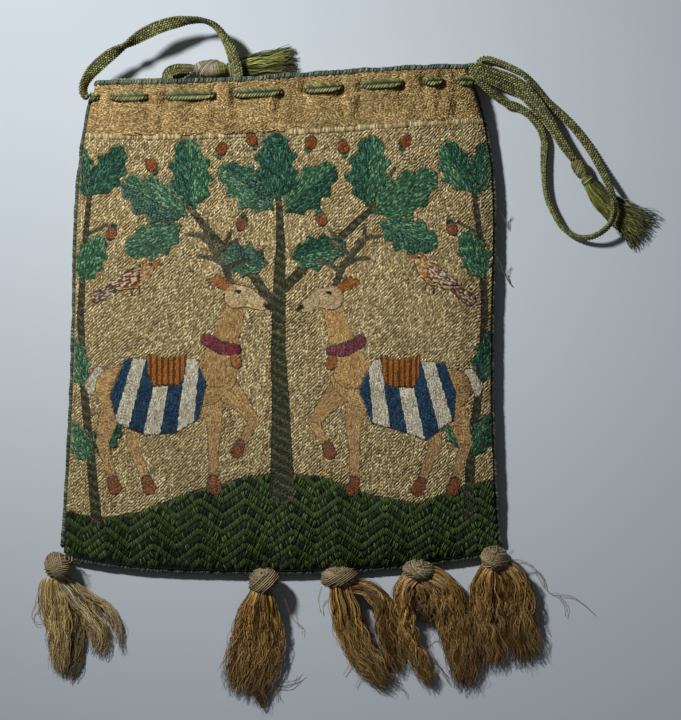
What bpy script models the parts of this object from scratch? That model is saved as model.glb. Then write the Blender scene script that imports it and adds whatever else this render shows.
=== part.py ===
# Embroidered drawstring purse, lying on its back with its mouth towards +Y and its front up.
# Two stitched panels and two header bands make the body, with a lining pouch inside.
# One flat braid runs through eyelets in both headers: its ends leave at the left in a wound knot
# with a silk tassel, and its middle hangs out at the right as a pulling loop.
# Five silk tassels hang from the bottom edge.

import math

import bmesh
import bpy
import numpy as np
from mathutils import Matrix, Vector

MM = 0.001  # every size below is in millimetres

# Body, seen from above
BAG_HEIGHT = 168.4  # bottom edge to mouth edge on the centre line
BOTTOM_WIDTH = 149.2
MOUTH_WIDTH = 128.0
LEFT_BULGE = 2.6  # how far the left side stands out past a straight taper
RIGHT_BULGE = 4.6
LEFT_CORNER_RISE = 5.8  # bottom corners lie higher than the middle of the bottom edge
RIGHT_CORNER_RISE = 7.0
MOUTH_TILT = 2.7  # the mouth edge climbs from left to right by twice this
MOUTH_DIP = 0.9

# Body, seen from the side
BODY_THICKNESS = 12.0  # at the middle of the front
MOUTH_THICKNESS = 13.0
BOTTOM_SEAM_LIFT = 0.4  # underside of the seam above the table
SIDE_SEAM_LIFT = 1.6
MOUTH_BACK_LIFT = 2.1  # room below the back header for the braid
MOUTH_SIDE_ROOM = 0.8  # between the headers at the ends of the mouth, beyond the braid's own thickness

# Cloth
PANEL_WALL = 1.2
HEADER_WALL = 1.4
LINING_WALL = 0.5
HEADER_HEIGHT = 18.5  # from the mouth edge down to the border line
LINING_SIDE_INSET = 4.2
LINING_BOTTOM_INSET = 6.5
LINING_TOP_GAP = 0.5
SLOPE_ALLOWANCE = 0.1  # walls measured straight down are thicker where the cloth slopes
SEAM_GAP = 0.3
EDGING_RADIUS = 0.8
SIDE_EDGING_START = 2.2  # above the bottom corner
SIDE_EDGING_END = 0.945  # share of the cloth's height, just below the drawstring row
BINDING_RADIUS = 0.9

# Flat braid
BRAID_WIDTH = 3.4  # drawn in where it passes through the header
BRAID_THICKNESS = 1.1
BRAID_CLEARANCE = 0.5
BRAID_BEND = 0.9  # radius of its middle line where it turns into an eyelet
ROW_BELOW_MOUTH = 5.6
EYELET_LENGTH = 1.9  # along the row
FREE_CORD_RADIUS = 1.1  # a round stand-in for the flat braid where it lies free
CORD_POINT_SPACING = 3.4

# Eyelets along the header from left to right, as shares of half the mouth's width
FRONT_EYELETS = (-0.953, -0.884, -0.702, -0.597, -0.350, -0.241, 0.000, 0.125, 0.314, 0.423, 0.628, 0.748, 0.838, 0.911)
BACK_EYELETS = (-0.791, -0.702, -0.597, -0.350, -0.241, 0.000, 0.125, 0.314, 0.423, 0.628, 0.748, 0.838)
FRONT_RUN = (0.4, 0.0)  # how far in from the mouth's corners the threaded braid ends
BACK_RUN = (10.7, -0.2)

# Routes of the free braid, chosen by hand, from the mouth's left corner
LEFT_ARCH_ROUTE = (
    (-0.3, -5.8, 7.8), (-1.8, -5.6, 7.3), (-3.0, -3.9, 6.6), (-2.6, -1.3, 6.3), (-0.4, 1.7, 6.4),
    (3.4, 5.1, 6.9), (7.8, 8.7, 7.4), (13.0, 11.9, 7.8), (18.8, 15.4, 8.2), (24.7, 18.0, 8.5),
    (31.6, 19.6, 8.6), (37.5, 19.8, 8.5), (41.7, 18.3, 8.3), (44.9, 14.7, 7.9), (47.4, 10.0, 7.3),
    (48.8, 5.1, 6.8), (49.2, 1.1, 6.6), (48.4, -2.2, 6.6), (45.4, -4.1, 6.6), (40.5, -4.7, 6.7),
    (35.0, -4.3, 7.0), (30.0, -2.9, 7.5), (26.4, -0.5, 7.7), (26.6, 2.4, 7.1), (29.0, 3.7, 6.1),
    (31.5, 3.9, 4.9), (34.4, 3.9, 4.3),
)
LEFT_END_ROUTE = (
    (10.0, -6.0, 5.0), (8.6, -5.8, 5.0), (7.0, -4.7, 5.1), (6.5, -2.9, 5.3), (7.4, -1.2, 5.5),
    (9.4, -0.7, 5.5), (14.0, -0.6, 5.5), (19.5, -0.3, 5.4), (23.5, 0.1, 5.2), (26.0, 1.3, 4.7),
    (28.4, 2.9, 3.3), (31.0, 3.7, 2.2), (34.4, 3.9, 1.7),
)
# The same, from the mouth's right corner
RIGHT_LOOP_ROUTE = (
    (0.8, -5.6, 7.5), (2.6, -6.1, 7.1), (4.9, -8.2, 6.2), (8.4, -11.1, 4.2), (11.2, -12.9, 2.8),
    (14.3, -13.8, 1.9), (17.7, -15.7, 1.4), (20.8, -18.6, 1.2), (23.0, -21.8, 1.2), (24.2, -25.6, 1.2),
    (24.2, -28.5, 1.2), (24.0, -33.9, 1.2), (24.4, -40.4, 1.2), (25.4, -45.5, 1.2), (27.6, -50.3, 1.2),
    (30.1, -54.3, 1.4), (33.8, -57.2, 2.3), (37.4, -58.1, 3.9), (41.4, -57.2, 5.5), (45.1, -54.6, 6.6),
    (47.2, -51.0, 6.9), (47.6, -47.0, 6.9), (46.6, -43.0, 6.7), (45.1, -39.3, 5.6), (42.9, -34.6, 3.6),
    (40.0, -29.2, 1.9), (36.7, -24.5, 1.3), (33.1, -20.1, 1.2), (28.4, -15.5, 1.2), (24.3, -11.7, 1.2),
    (22.4, -9.3, 1.2), (19.9, -6.2, 1.2), (16.8, -3.1, 1.2), (13.1, -1.0, 1.2), (8.4, 1.0, 1.3),
    (4.6, 1.9, 1.7), (2.4, 0.7, 2.2), (2.9, -1.9, 2.8), (3.4, -4.0, 3.4), (2.6, -5.3, 3.9),
    (0.9, -5.6, 4.3),
)
UPPER_TAIL_ROUTE = (
    (-0.8, -0.8, 6.1), (1.4, -1.0, 6.3), (4.0, -1.7, 6.0), (8.4, -3.1, 4.9), (13.1, -4.7, 4.0),
    (16.4, -6.7, 3.8), (19.4, -9.4, 3.8), (21.8, -12.4, 3.8), (23.8, -15.4, 3.8), (25.8, -18.4, 3.8),
    (27.3, -21.3, 3.8), (28.8, -24.2, 3.8), (31.3, -28.3, 3.8), (33.9, -31.9, 3.8),
)
LOWER_TAIL_ROUTE = (
    (0.4, -3.6, 6.2), (2.0, -3.7, 6.1), (4.0, -4.5, 5.7), (7.7, -5.9, 4.3), (11.7, -7.7, 2.7),
    (15.1, -9.2, 1.6), (18.1, -11.4, 1.25), (20.4, -14.0, 1.25), (22.9, -16.7, 1.25), (25.4, -19.5, 1.25),
    (27.3, -22.1, 1.25), (28.8, -24.5, 1.25), (31.3, -28.3, 1.25), (33.9, -31.9, 1.25),
)

# Knots and tassels on the braid's ends, each face from its own corner of the mouth
LEFT_KNOT_FACE = (34.7, 3.9, 3.0)
LEFT_KNOT_LENGTH = 11.4
LEFT_KNOT_RADIUS = 2.8
LEFT_TASSEL_LENGTH = 20.0
LEFT_TASSEL_TURN = 8.0  # degrees it points away from the knot's axis
RIGHT_NECK_FACE = (34.1, -32.2, 2.55)
RIGHT_NECK_HEADING = -56.5
RIGHT_NECK_LENGTH = 6.6
RIGHT_NECK_RADIUS = 2.4
RIGHT_TASSEL_LENGTH = 30.0
RIGHT_TASSEL_TURN = 24.0
TASSEL_TABLE_GAP = 0.25

# Bottom tassels: place as a share of half the bottom's width, drop of the knot below the edge,
# knot half width and radius, then the skirt's length, sideways lean and half widths
BOTTOM_TASSELS = (
    ("far_left", -1.0, 2.6, 4.4, 4.6, 30.0, 2.8, (4.4, 6.4, 5.6)),
    ("left", -0.0764, 1.9, 5.0, 4.2, 36.0, -4.0, (5.0, 9.4, 10.6)),
    ("middle", 0.26, 1.1, 6.0, 3.4, 33.5, 21.0, (5.6, 7.2, 8.6)),
    ("right", 0.6166, 1.0, 5.2, 3.3, 35.5, 15.0, (5.2, 7.4, 4.8)),
    ("far_right", 0.957, 1.0, 4.6, 4.0, 31.0, 5.6, (4.6, 8.0, 9.0)),
)
SKIRT_THICKNESS = (5.6, 5.0, 3.6)  # at the neck, middle and end
KNOT_TABLE_GAP = 0.3
LOOP_THREAD_RADIUS = 0.35
LOOP_SPREAD = 1.1
LOOP_TOP = 62.0  # degrees round the knot
LOOP_CREST = 0.28  # how much further round the loop's bend reaches, in radians
KNOT_SIDES = 14

EDGE_ALLOWANCE = 2 * EDGING_RADIUS + SEAM_GAP
BINDING_ALLOWANCE = 2 * BINDING_RADIUS + SEAM_GAP
CLOTH_HEIGHT = BAG_HEIGHT - EDGE_ALLOWANCE - BINDING_ALLOWANCE
BORDER_V = 1 - (HEADER_HEIGHT - BINDING_ALLOWANCE) / CLOTH_HEIGHT
SIDE_FULLNESS = 6  # how squarely the front rises from its side seams
BOTTOM_FULLNESS = 14
SIDE_ROLL = 0.2  # share of the half width where the back curls up to its seam
BOTTOM_ROLL = 0.1


def smooth_step(low, high, value):
    """0 below low, 1 above high, and an S-curve between."""
    share = np.clip((value - low) / (high - low), 0, 1)
    return share * share * (3 - 2 * share)


def outline_left(v):
    taper = BOTTOM_WIDTH + (MOUTH_WIDTH - BOTTOM_WIDTH) * v
    return -taper / 2 - LEFT_BULGE * np.sin(math.pi * np.clip(v, 0, 1) ** 2.6)


def outline_right(v):
    taper = BOTTOM_WIDTH + (MOUTH_WIDTH - BOTTOM_WIDTH) * v
    return taper / 2 + RIGHT_BULGE * np.sin(math.pi * np.clip(v, 0, 1) ** 2.6)


def outline_bottom(u):
    left = LEFT_CORNER_RISE * np.clip(-u, 0, 1) ** 3.2
    right = RIGHT_CORNER_RISE * np.clip(u, 0, 1) ** 2
    return -BAG_HEIGHT / 2 + left + right


def outline_mouth(u):
    return BAG_HEIGHT / 2 + MOUTH_TILT * np.sin(math.pi / 2 * u) - MOUTH_DIP * (1 - u * u) ** 2


def mouth_corner(side):
    """The mouth's left (-1) or right (1) corner, in plan."""
    return np.array([outline_left(1) if side < 0 else outline_right(1), outline_mouth(side), 0])


def plan(u, v):
    """Place in the cloth, from u of -1 at the left seam to 1 at the right, and v of 0 at the bottom to 1."""
    left = outline_left(v) + EDGE_ALLOWANCE
    right = outline_right(v) - EDGE_ALLOWANCE
    bottom = outline_bottom(u) + EDGE_ALLOWANCE
    top = outline_mouth(u) - BINDING_ALLOWANCE
    return left + (right - left) * (u + 1) / 2, bottom + (top - bottom) * v


def back_edge(v):
    return BOTTOM_SEAM_LIFT + (SIDE_SEAM_LIFT - BOTTOM_SEAM_LIFT) * smooth_step(0, 0.15, v)


def back_surface(u, v):
    """Height of the back's outer face: flat on the table, curled up at the seams and lifted at the mouth."""
    side = np.clip((np.abs(u) - 1 + SIDE_ROLL) / SIDE_ROLL, 0, 1) ** 2
    bottom = np.clip((BOTTOM_ROLL - v) / BOTTOM_ROLL, 0, 1) ** 2
    seam = 1 - (1 - side) * (1 - bottom)
    lift = MOUTH_BACK_LIFT * smooth_step(0.87, 0.955, v)
    return np.maximum(back_edge(v), lift) * seam + lift * (1 - seam)


def front_edge(v):
    mouth = smooth_step(0.85, 0.95, v)
    walls = 2 * (PANEL_WALL + (HEADER_WALL - PANEL_WALL) * mouth)
    return back_edge(v) + walls + SEAM_GAP + (BRAID_THICKNESS + MOUTH_SIDE_ROOM) * mouth


def front_surface(u, v):
    """Height of the front's outer face: a low pillow that is flat in the middle."""
    crown = BODY_THICKNESS + (MOUTH_THICKNESS - BODY_THICKNESS) * smooth_step(0.8, 0.95, v)
    fullness = (1 - np.abs(u) ** SIDE_FULLNESS) * (1 - (1 - np.clip(v, 0, 1)) ** BOTTOM_FULLNESS)
    return front_edge(v) + (crown - front_edge(v)) * fullness


def spread(count):
    """Stations from -1 to 1 that crowd towards both ends."""
    return np.sin(np.linspace(-math.pi / 2, math.pi / 2, count)) * 0.6 + np.linspace(-1, 1, count) * 0.4


def material(name, colour, roughness):
    shade = bpy.data.materials.new(name)
    shade.use_nodes = True
    surface = shade.node_tree.nodes["Principled BSDF"]
    channels = [int(colour[i : i + 2], 16) / 255 for i in (0, 2, 4)]
    linear = [c / 12.92 if c <= 0.04045 else ((c + 0.055) / 1.055) ** 2.4 for c in channels]
    surface.inputs["Base Color"].default_value = (*linear, 1)
    surface.inputs["Roughness"].default_value = roughness
    surface.inputs["Metallic"].default_value = 0
    return shade


def add_object(name, data, shade):
    data.materials.append(shade)
    thing = bpy.data.objects.new(name, data)
    bpy.context.scene.collection.objects.link(thing)
    return thing


def add_mesh(name, points, faces, shade, smooth=True):
    """A mesh object from points in millimetres."""
    mesh = bpy.data.meshes.new(name)
    mesh.from_pydata((np.asarray(points, float) * MM).tolist(), [], faces)
    mesh.validate()
    if smooth:
        mesh.shade_smooth()
        mesh.set_sharp_from_angle(angle=math.radians(40))
    return add_object(name, mesh, shade)


def grid_faces(rows, columns, flip=False):
    faces = []
    for i in range(rows - 1):
        for j in range(columns - 1):
            a = i * columns + j
            face = (a, a + 1, a + columns + 1, a + columns)
            faces.append(face[::-1] if flip else face)
    return faces


def cloth_sheet(name, us, vs, surface, wall, shade, faces_up):
    """A sheet of cloth on one of the two outer surfaces, thickened inwards."""
    v, u = np.meshgrid(vs, us, indexing="ij")
    x, y = plan(u, v)
    points = np.stack([x, y, surface(u, v)], axis=-1).reshape(-1, 3)
    sheet = add_mesh(name, points, grid_faces(len(vs), len(us), flip=not faces_up), shade)
    solidify = sheet.modifiers.new("wall", "SOLIDIFY")
    solidify.thickness = wall * MM
    solidify.offset = -1
    solidify.use_even_offset = True
    return sheet


def tube(name, points, radius, shade):
    """A round cord along a list of points in millimetres."""
    curve = bpy.data.curves.new(name, "CURVE")
    curve.dimensions = "3D"
    curve.bevel_depth = radius * MM
    curve.bevel_resolution = 2
    curve.use_fill_caps = True
    spline = curve.splines.new("POLY")
    spline.points.add(len(points) - 1)
    for point, place in zip(spline.points, points):
        point.co = (*(np.asarray(place, float) * MM), 1)
    return add_object(name, curve, shade)


def smooth_route(route, spacing):
    """Evenly spaced points on a Catmull-Rom curve through the route's own points."""
    route = np.asarray(route, float)
    padded = np.vstack([2 * route[0] - route[1], route, 2 * route[-1] - route[-2]])
    dense = []
    for i in range(len(route) - 1):
        before, start, end, after = padded[i : i + 4]
        t = np.linspace(0, 1, 12, endpoint=False)[:, None]
        cubic = 2 * start + (end - before) * t
        cubic = cubic + (2 * before - 5 * start + 4 * end - after) * t**2
        cubic = cubic + (3 * start - before - 3 * end + after) * t**3
        dense.append(cubic / 2)
    dense = np.vstack([*dense, route[-1:]])
    lengths = np.concatenate([[0], np.cumsum(np.linalg.norm(np.diff(dense, axis=0), axis=1))])
    count = max(int(round(lengths[-1] / spacing)), 2) + 1
    wanted = np.linspace(0, lengths[-1], count)
    return np.stack([np.interp(wanted, lengths, dense[:, k]) for k in range(3)], axis=1), lengths[-1]


def rings_to_solid(name, rings, shade):
    """Closed rings of points, joined in order and capped at both ends."""
    count, sides = rings.shape[:2]
    faces = []
    for i in range(count - 1):
        for j in range(sides):
            k = (j + 1) % sides
            faces.append((i * sides + j, i * sides + k, (i + 1) * sides + k, (i + 1) * sides + j))
    faces.append(tuple(reversed(range(sides))))
    faces.append(tuple((count - 1) * sides + j for j in range(sides)))
    solid = add_mesh(name, rings.reshape(-1, 3), faces, shade)
    outward = bmesh.new()
    outward.from_mesh(solid.data)
    bmesh.ops.recalc_face_normals(outward, faces=outward.faces)
    outward.to_mesh(solid.data)
    outward.free()
    return solid


def lathe(name, centre, heading, stations, shade):
    """A turned solid lying flat: stations are pairs of distance along the heading and radius."""
    along = np.array([math.cos(math.radians(heading)), math.sin(math.radians(heading)), 0])
    across = np.array([-along[1], along[0], 0])
    turns = np.linspace(0, 2 * math.pi, KNOT_SIDES, endpoint=False)
    rings = []
    for distance, radius in stations:
        ring = np.asarray(centre) + distance * along + radius * np.cos(turns)[:, None] * across
        ring[:, 2] += radius * np.sin(turns)
        rings.append(ring)
    return rings_to_solid(name, np.array(rings), shade)


def hang_on(hinge_name, place, things):
    """Puts an empty on the joint's axis and hangs the moving pieces on it."""
    hinge = bpy.data.objects.new(hinge_name, None)
    hinge.empty_display_size = 5 * MM
    hinge.location = np.asarray(place) * MM
    bpy.context.scene.collection.objects.link(hinge)
    for thing in things:
        thing.data.transform(Matrix.Translation(-hinge.location))
        thing.parent = hinge
    print(hinge_name, "at", [round(float(value), 3) for value in place], "mm")


def row_place(x):
    """Cloth coordinates and height on the bag of the drawstring row at this x."""
    v = 1 - (ROW_BELOW_MOUTH - BINDING_ALLOWANCE) / CLOTH_HEIGHT
    left = outline_left(v) + EDGE_ALLOWANCE
    right = outline_right(v) - EDGE_ALLOWANCE
    u = 2 * (x - left) / (right - left) - 1
    return np.clip(u, -1, 1), v, outline_mouth(np.clip(u, -1, 1)) - ROW_BELOW_MOUTH


def braid_level(x, outside, front):
    """Height of the braid's middle line on one face or the other of the header's wall."""
    u, v, _ = row_place(x)
    step = BRAID_CLEARANCE + BRAID_THICKNESS / 2
    if front:
        return front_surface(u, v) + (step if outside else -HEADER_WALL - step)
    return back_surface(u, v) + (-step if outside else HEADER_WALL + step)


def threaded_braid(name, insets, eyelets, outside, front, shade):
    """The flat braid that runs in and out of the header through its eyelets."""
    path = []
    start = outline_left(1) + insets[0]
    end = outline_right(1) - insets[1]

    def run_along(low, high):
        count = max(int((high - low) / CORD_POINT_SPACING), 1) + 1
        path.extend((x, braid_level(x, outside, front)) for x in np.linspace(low, high, count))

    x = start
    quarter = np.radians((30, 60, 90))
    for eyelet in eyelets:
        run_along(x, eyelet - BRAID_BEND)
        here = braid_level(eyelet - BRAID_BEND, outside, front)
        outside = not outside
        there = braid_level(eyelet + BRAID_BEND, outside, front)
        turn = math.copysign(BRAID_BEND, there - here)
        for angle in quarter:
            path.append((eyelet - BRAID_BEND * (1 - math.sin(angle)), here + turn * (1 - math.cos(angle))))
        for angle in quarter[:2]:
            path.append((eyelet + BRAID_BEND * (1 - math.cos(angle)), there - turn * (1 - math.sin(angle))))
        x = eyelet + BRAID_BEND
    run_along(x, end)
    middle = np.array([(x, row_place(x)[2], z) for x, z in path])
    along = np.gradient(middle, axis=0)
    along[:, 1] = 0
    along /= np.linalg.norm(along, axis=1)[:, None]
    outward = np.stack([-along[:, 2], along[:, 1], along[:, 0]], axis=1)
    half, thin = BRAID_WIDTH / 2, BRAID_THICKNESS / 2
    section = ((half, 0), (0.8 * half, thin), (-0.8 * half, thin), (-half, 0), (-0.8 * half, -thin), (0.8 * half, -thin))
    rings = [middle + outward * t + np.array([0, w, 0]) for w, t in section]
    return rings_to_solid(name, np.stack(rings, axis=1), shade)


def cut_eyelets(header, eyelets, front):
    """Cuts the slots that the braid passes through."""
    cutter = bmesh.new()
    for x in eyelets:
        u, v, y = row_place(x)
        z = front_surface(u, v) - HEADER_WALL / 2 if front else back_surface(u, v) + HEADER_WALL / 2
        size = (EYELET_LENGTH, BRAID_WIDTH + 2 * BRAID_CLEARANCE, 4 * HEADER_WALL)
        place = Matrix.Translation(Vector((x, float(y), float(z))) * MM)
        bmesh.ops.create_cube(cutter, size=MM, matrix=place @ Matrix.Diagonal((*size, 1)))
    mesh = bpy.data.meshes.new(header.name + "_eyelets")
    cutter.to_mesh(mesh)
    cutter.free()
    helper = bpy.data.objects.new(mesh.name, mesh)
    helper.hide_render = True
    helper.display_type = "WIRE"
    bpy.context.scene.collection.objects.link(helper)
    cut = header.modifiers.new("eyelets", "BOOLEAN")
    cut.object = helper
    cut.operation = "DIFFERENCE"
    cut.solver = "EXACT"


def lining_pouch(shade):
    """A bag of thin cloth inside the panels, open at the top and sewn to the headers' lower edge."""
    widest = 1 - LINING_SIDE_INSET / (BOTTOM_WIDTH / 2)
    lowest = LINING_BOTTOM_INSET / CLOTH_HEIGHT
    us = spread(13)
    rings = []
    for share in (spread(15) + 1) / 2:
        v = lowest + (BORDER_V - LINING_TOP_GAP / CLOTH_HEIGHT - lowest) * share
        corner = 1 - 0.35 * np.clip(1 - share / 0.12, 0, 1) ** 2
        u = us * widest * corner
        x, y = plan(u, v)
        step = PANEL_WALL + SEAM_GAP + SLOPE_ALLOWANCE
        top = np.stack([x, y, front_surface(u, v) - step], axis=1)
        bottom = np.stack([x, y, back_surface(u, v) + step], axis=1)
        rings.append(np.vstack([top, bottom[::-1]]))
    rings = np.array(rings)
    count, sides = rings.shape[:2]
    faces = []
    for i in range(count - 1):
        for j in range(sides):
            k = (j + 1) % sides
            faces.append((i * sides + j, i * sides + k, (i + 1) * sides + k, (i + 1) * sides + j))
    for j in range(len(us) - 1):
        faces.append((sides - 1 - j, sides - 2 - j, j + 1, j))
    pouch = add_mesh("lining", rings.reshape(-1, 3), faces, shade)
    solidify = pouch.modifiers.new("wall", "SOLIDIFY")
    solidify.thickness = LINING_WALL * MM
    solidify.offset = -1
    solidify.use_even_offset = True
    return pouch


def bottom_tassel(name, share, below, half_width, radius, length, lean, half_widths, shades):
    """A sewn thread loop, a round wound knot and a floss skirt that lies down to the table."""
    x = share * BOTTOM_WIDTH / 2
    left = outline_left(0) + EDGE_ALLOWANCE
    right = outline_right(0) - EDGE_ALLOWANCE
    edge = outline_bottom(np.clip(2 * (x - left) / (right - left) - 1, -1, 1))
    edging_z = BOTTOM_SEAM_LIFT + PANEL_WALL + SEAM_GAP / 2
    reach = radius + EDGING_RADIUS + SEAM_GAP
    knot_z = edging_z + math.sqrt(reach**2 - (below + EDGING_RADIUS) ** 2)
    knot_z = max(knot_z, radius + KNOT_TABLE_GAP)
    centre = np.array([x, edge - below, knot_z])

    angles = np.linspace(math.radians(14), math.radians(166), 7)
    profile = [(-half_width * math.cos(a), radius * math.sin(a)) for a in angles]
    knot = lathe(name + "_knot", centre, 0, profile, shades["knot"])

    shares = np.linspace(0, 1, 8)
    wide = np.interp(shares, (0, 0.45, 1), half_widths)
    thick = np.interp(shares, (0, 0.45, 1), SKIRT_THICKNESS) / 2
    thick = np.minimum(thick, 0.8 * radius + shares * 2)
    lying = smooth_step(0, 0.5, shares)
    middle_z = (knot_z - 0.4) * (1 - lying) + (thick + TASSEL_TABLE_GAP) * lying
    middle_x = x + lean * shares**1.25
    y = centre[1] - radius - SEAM_GAP - length * shares
    turns = np.linspace(0, 2 * math.pi, KNOT_SIDES, endpoint=False)
    rings = np.empty((len(shares), KNOT_SIDES, 3))
    rings[..., 0] = middle_x[:, None] + wide[:, None] * np.cos(turns)
    rings[..., 1] = y[:, None]
    rings[..., 2] = middle_z[:, None] + thick[:, None] * np.sin(turns)
    skirt = rings_to_solid(name + "_skirt", rings, shades["floss"])

    sewn = LOOP_SPREAD + 2 * LOOP_THREAD_RADIUS
    loop_x = np.clip(x, left + sewn, right - sewn)

    def over_knot(aside, angle):
        """A place on the loop, just clear of the round knot."""
        off_centre = min(abs(loop_x + aside - x) / half_width, 0.8)
        here = radius * math.sqrt(1 - off_centre**2)
        clear = here + SEAM_GAP + LOOP_THREAD_RADIUS
        return centre + (loop_x - x + aside, clear * math.cos(angle), clear * math.sin(angle))

    def lowest_angle(aside):
        """Where the loop's leg meets the cloth."""
        for degrees in range(-80, 60):
            place = over_knot(aside, math.radians(degrees))
            inside = max(place[1] - edge - EDGE_ALLOWANCE, 0)
            if place[2] - front_surface(0, inside / CLOTH_HEIGHT) > SEAM_GAP + 1.3 * LOOP_THREAD_RADIUS:
                break
        return math.radians(degrees)

    top = math.radians(LOOP_TOP)
    route = [over_knot(-LOOP_SPREAD, angle) for angle in np.linspace(lowest_angle(-LOOP_SPREAD), top, 4)]
    for turn in np.linspace(-math.pi / 2, math.pi / 2, 5)[1:-1]:
        route.append(over_knot(LOOP_SPREAD * math.sin(turn), top + LOOP_CREST * math.cos(turn)))
    route += [over_knot(LOOP_SPREAD, angle) for angle in np.linspace(top, lowest_angle(LOOP_SPREAD), 4)]
    tube(name + "_loop", route, LOOP_THREAD_RADIUS, shades["thread"])
    hang_on(name + "_hinge", centre, (knot, skirt))


def cord_tassel(name, knot_end, heading, turn, length, nose, half_widths, half_thicknesses, shade):
    """A flat floss tassel at a braid's end, whose round nose turns in the plane of the table."""
    start = math.radians(heading)
    hinge = np.asarray(knot_end) + (SEAM_GAP + nose) * np.array([math.cos(start), math.sin(start), 0])
    nose_angles = np.radians((20, 45, 70))
    distances = [-nose * math.cos(a) for a in nose_angles]
    wide = [nose * math.sin(a) for a in nose_angles]
    thick = [half_thicknesses[0] * math.sin(a) for a in nose_angles]
    shares = np.linspace(0, 1, 9)
    distances = np.concatenate([distances, shares * length])
    stations = np.linspace(0, 1, len(half_widths))
    wide = np.concatenate([wide, np.interp(shares, stations, half_widths)])
    thick = np.concatenate([thick, np.interp(shares, stations, half_thicknesses)])
    angles = start + np.radians(turn) * smooth_step(0.25, 0.8, np.clip(distances / length, 0, 1))
    steps = np.diff(distances, prepend=distances[0])
    x = np.cumsum(steps * np.cos(angles))
    y = np.cumsum(steps * np.sin(angles))
    at_hinge = len(nose_angles)
    x += hinge[0] - x[at_hinge]
    y += hinge[1] - y[at_hinge]
    lying = smooth_step(0, 0.4, np.clip(distances / length, 0, 1))
    z = hinge[2] * (1 - lying) + (thick + TASSEL_TABLE_GAP) * lying
    z = np.maximum(z, thick + TASSEL_TABLE_GAP)
    turns = np.linspace(0, 2 * math.pi, KNOT_SIDES, endpoint=False)
    rings = np.empty((len(distances), KNOT_SIDES, 3))
    rings[..., 0] = x[:, None] - np.sin(angles)[:, None] * wide[:, None] * np.cos(turns)
    rings[..., 1] = y[:, None] + np.cos(angles)[:, None] * wide[:, None] * np.cos(turns)
    rings[..., 2] = z[:, None] + thick[:, None] * np.sin(turns)
    tassel = rings_to_solid(name, rings, shade)
    hang_on(name + "_hinge", hinge, (tassel,))


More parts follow.
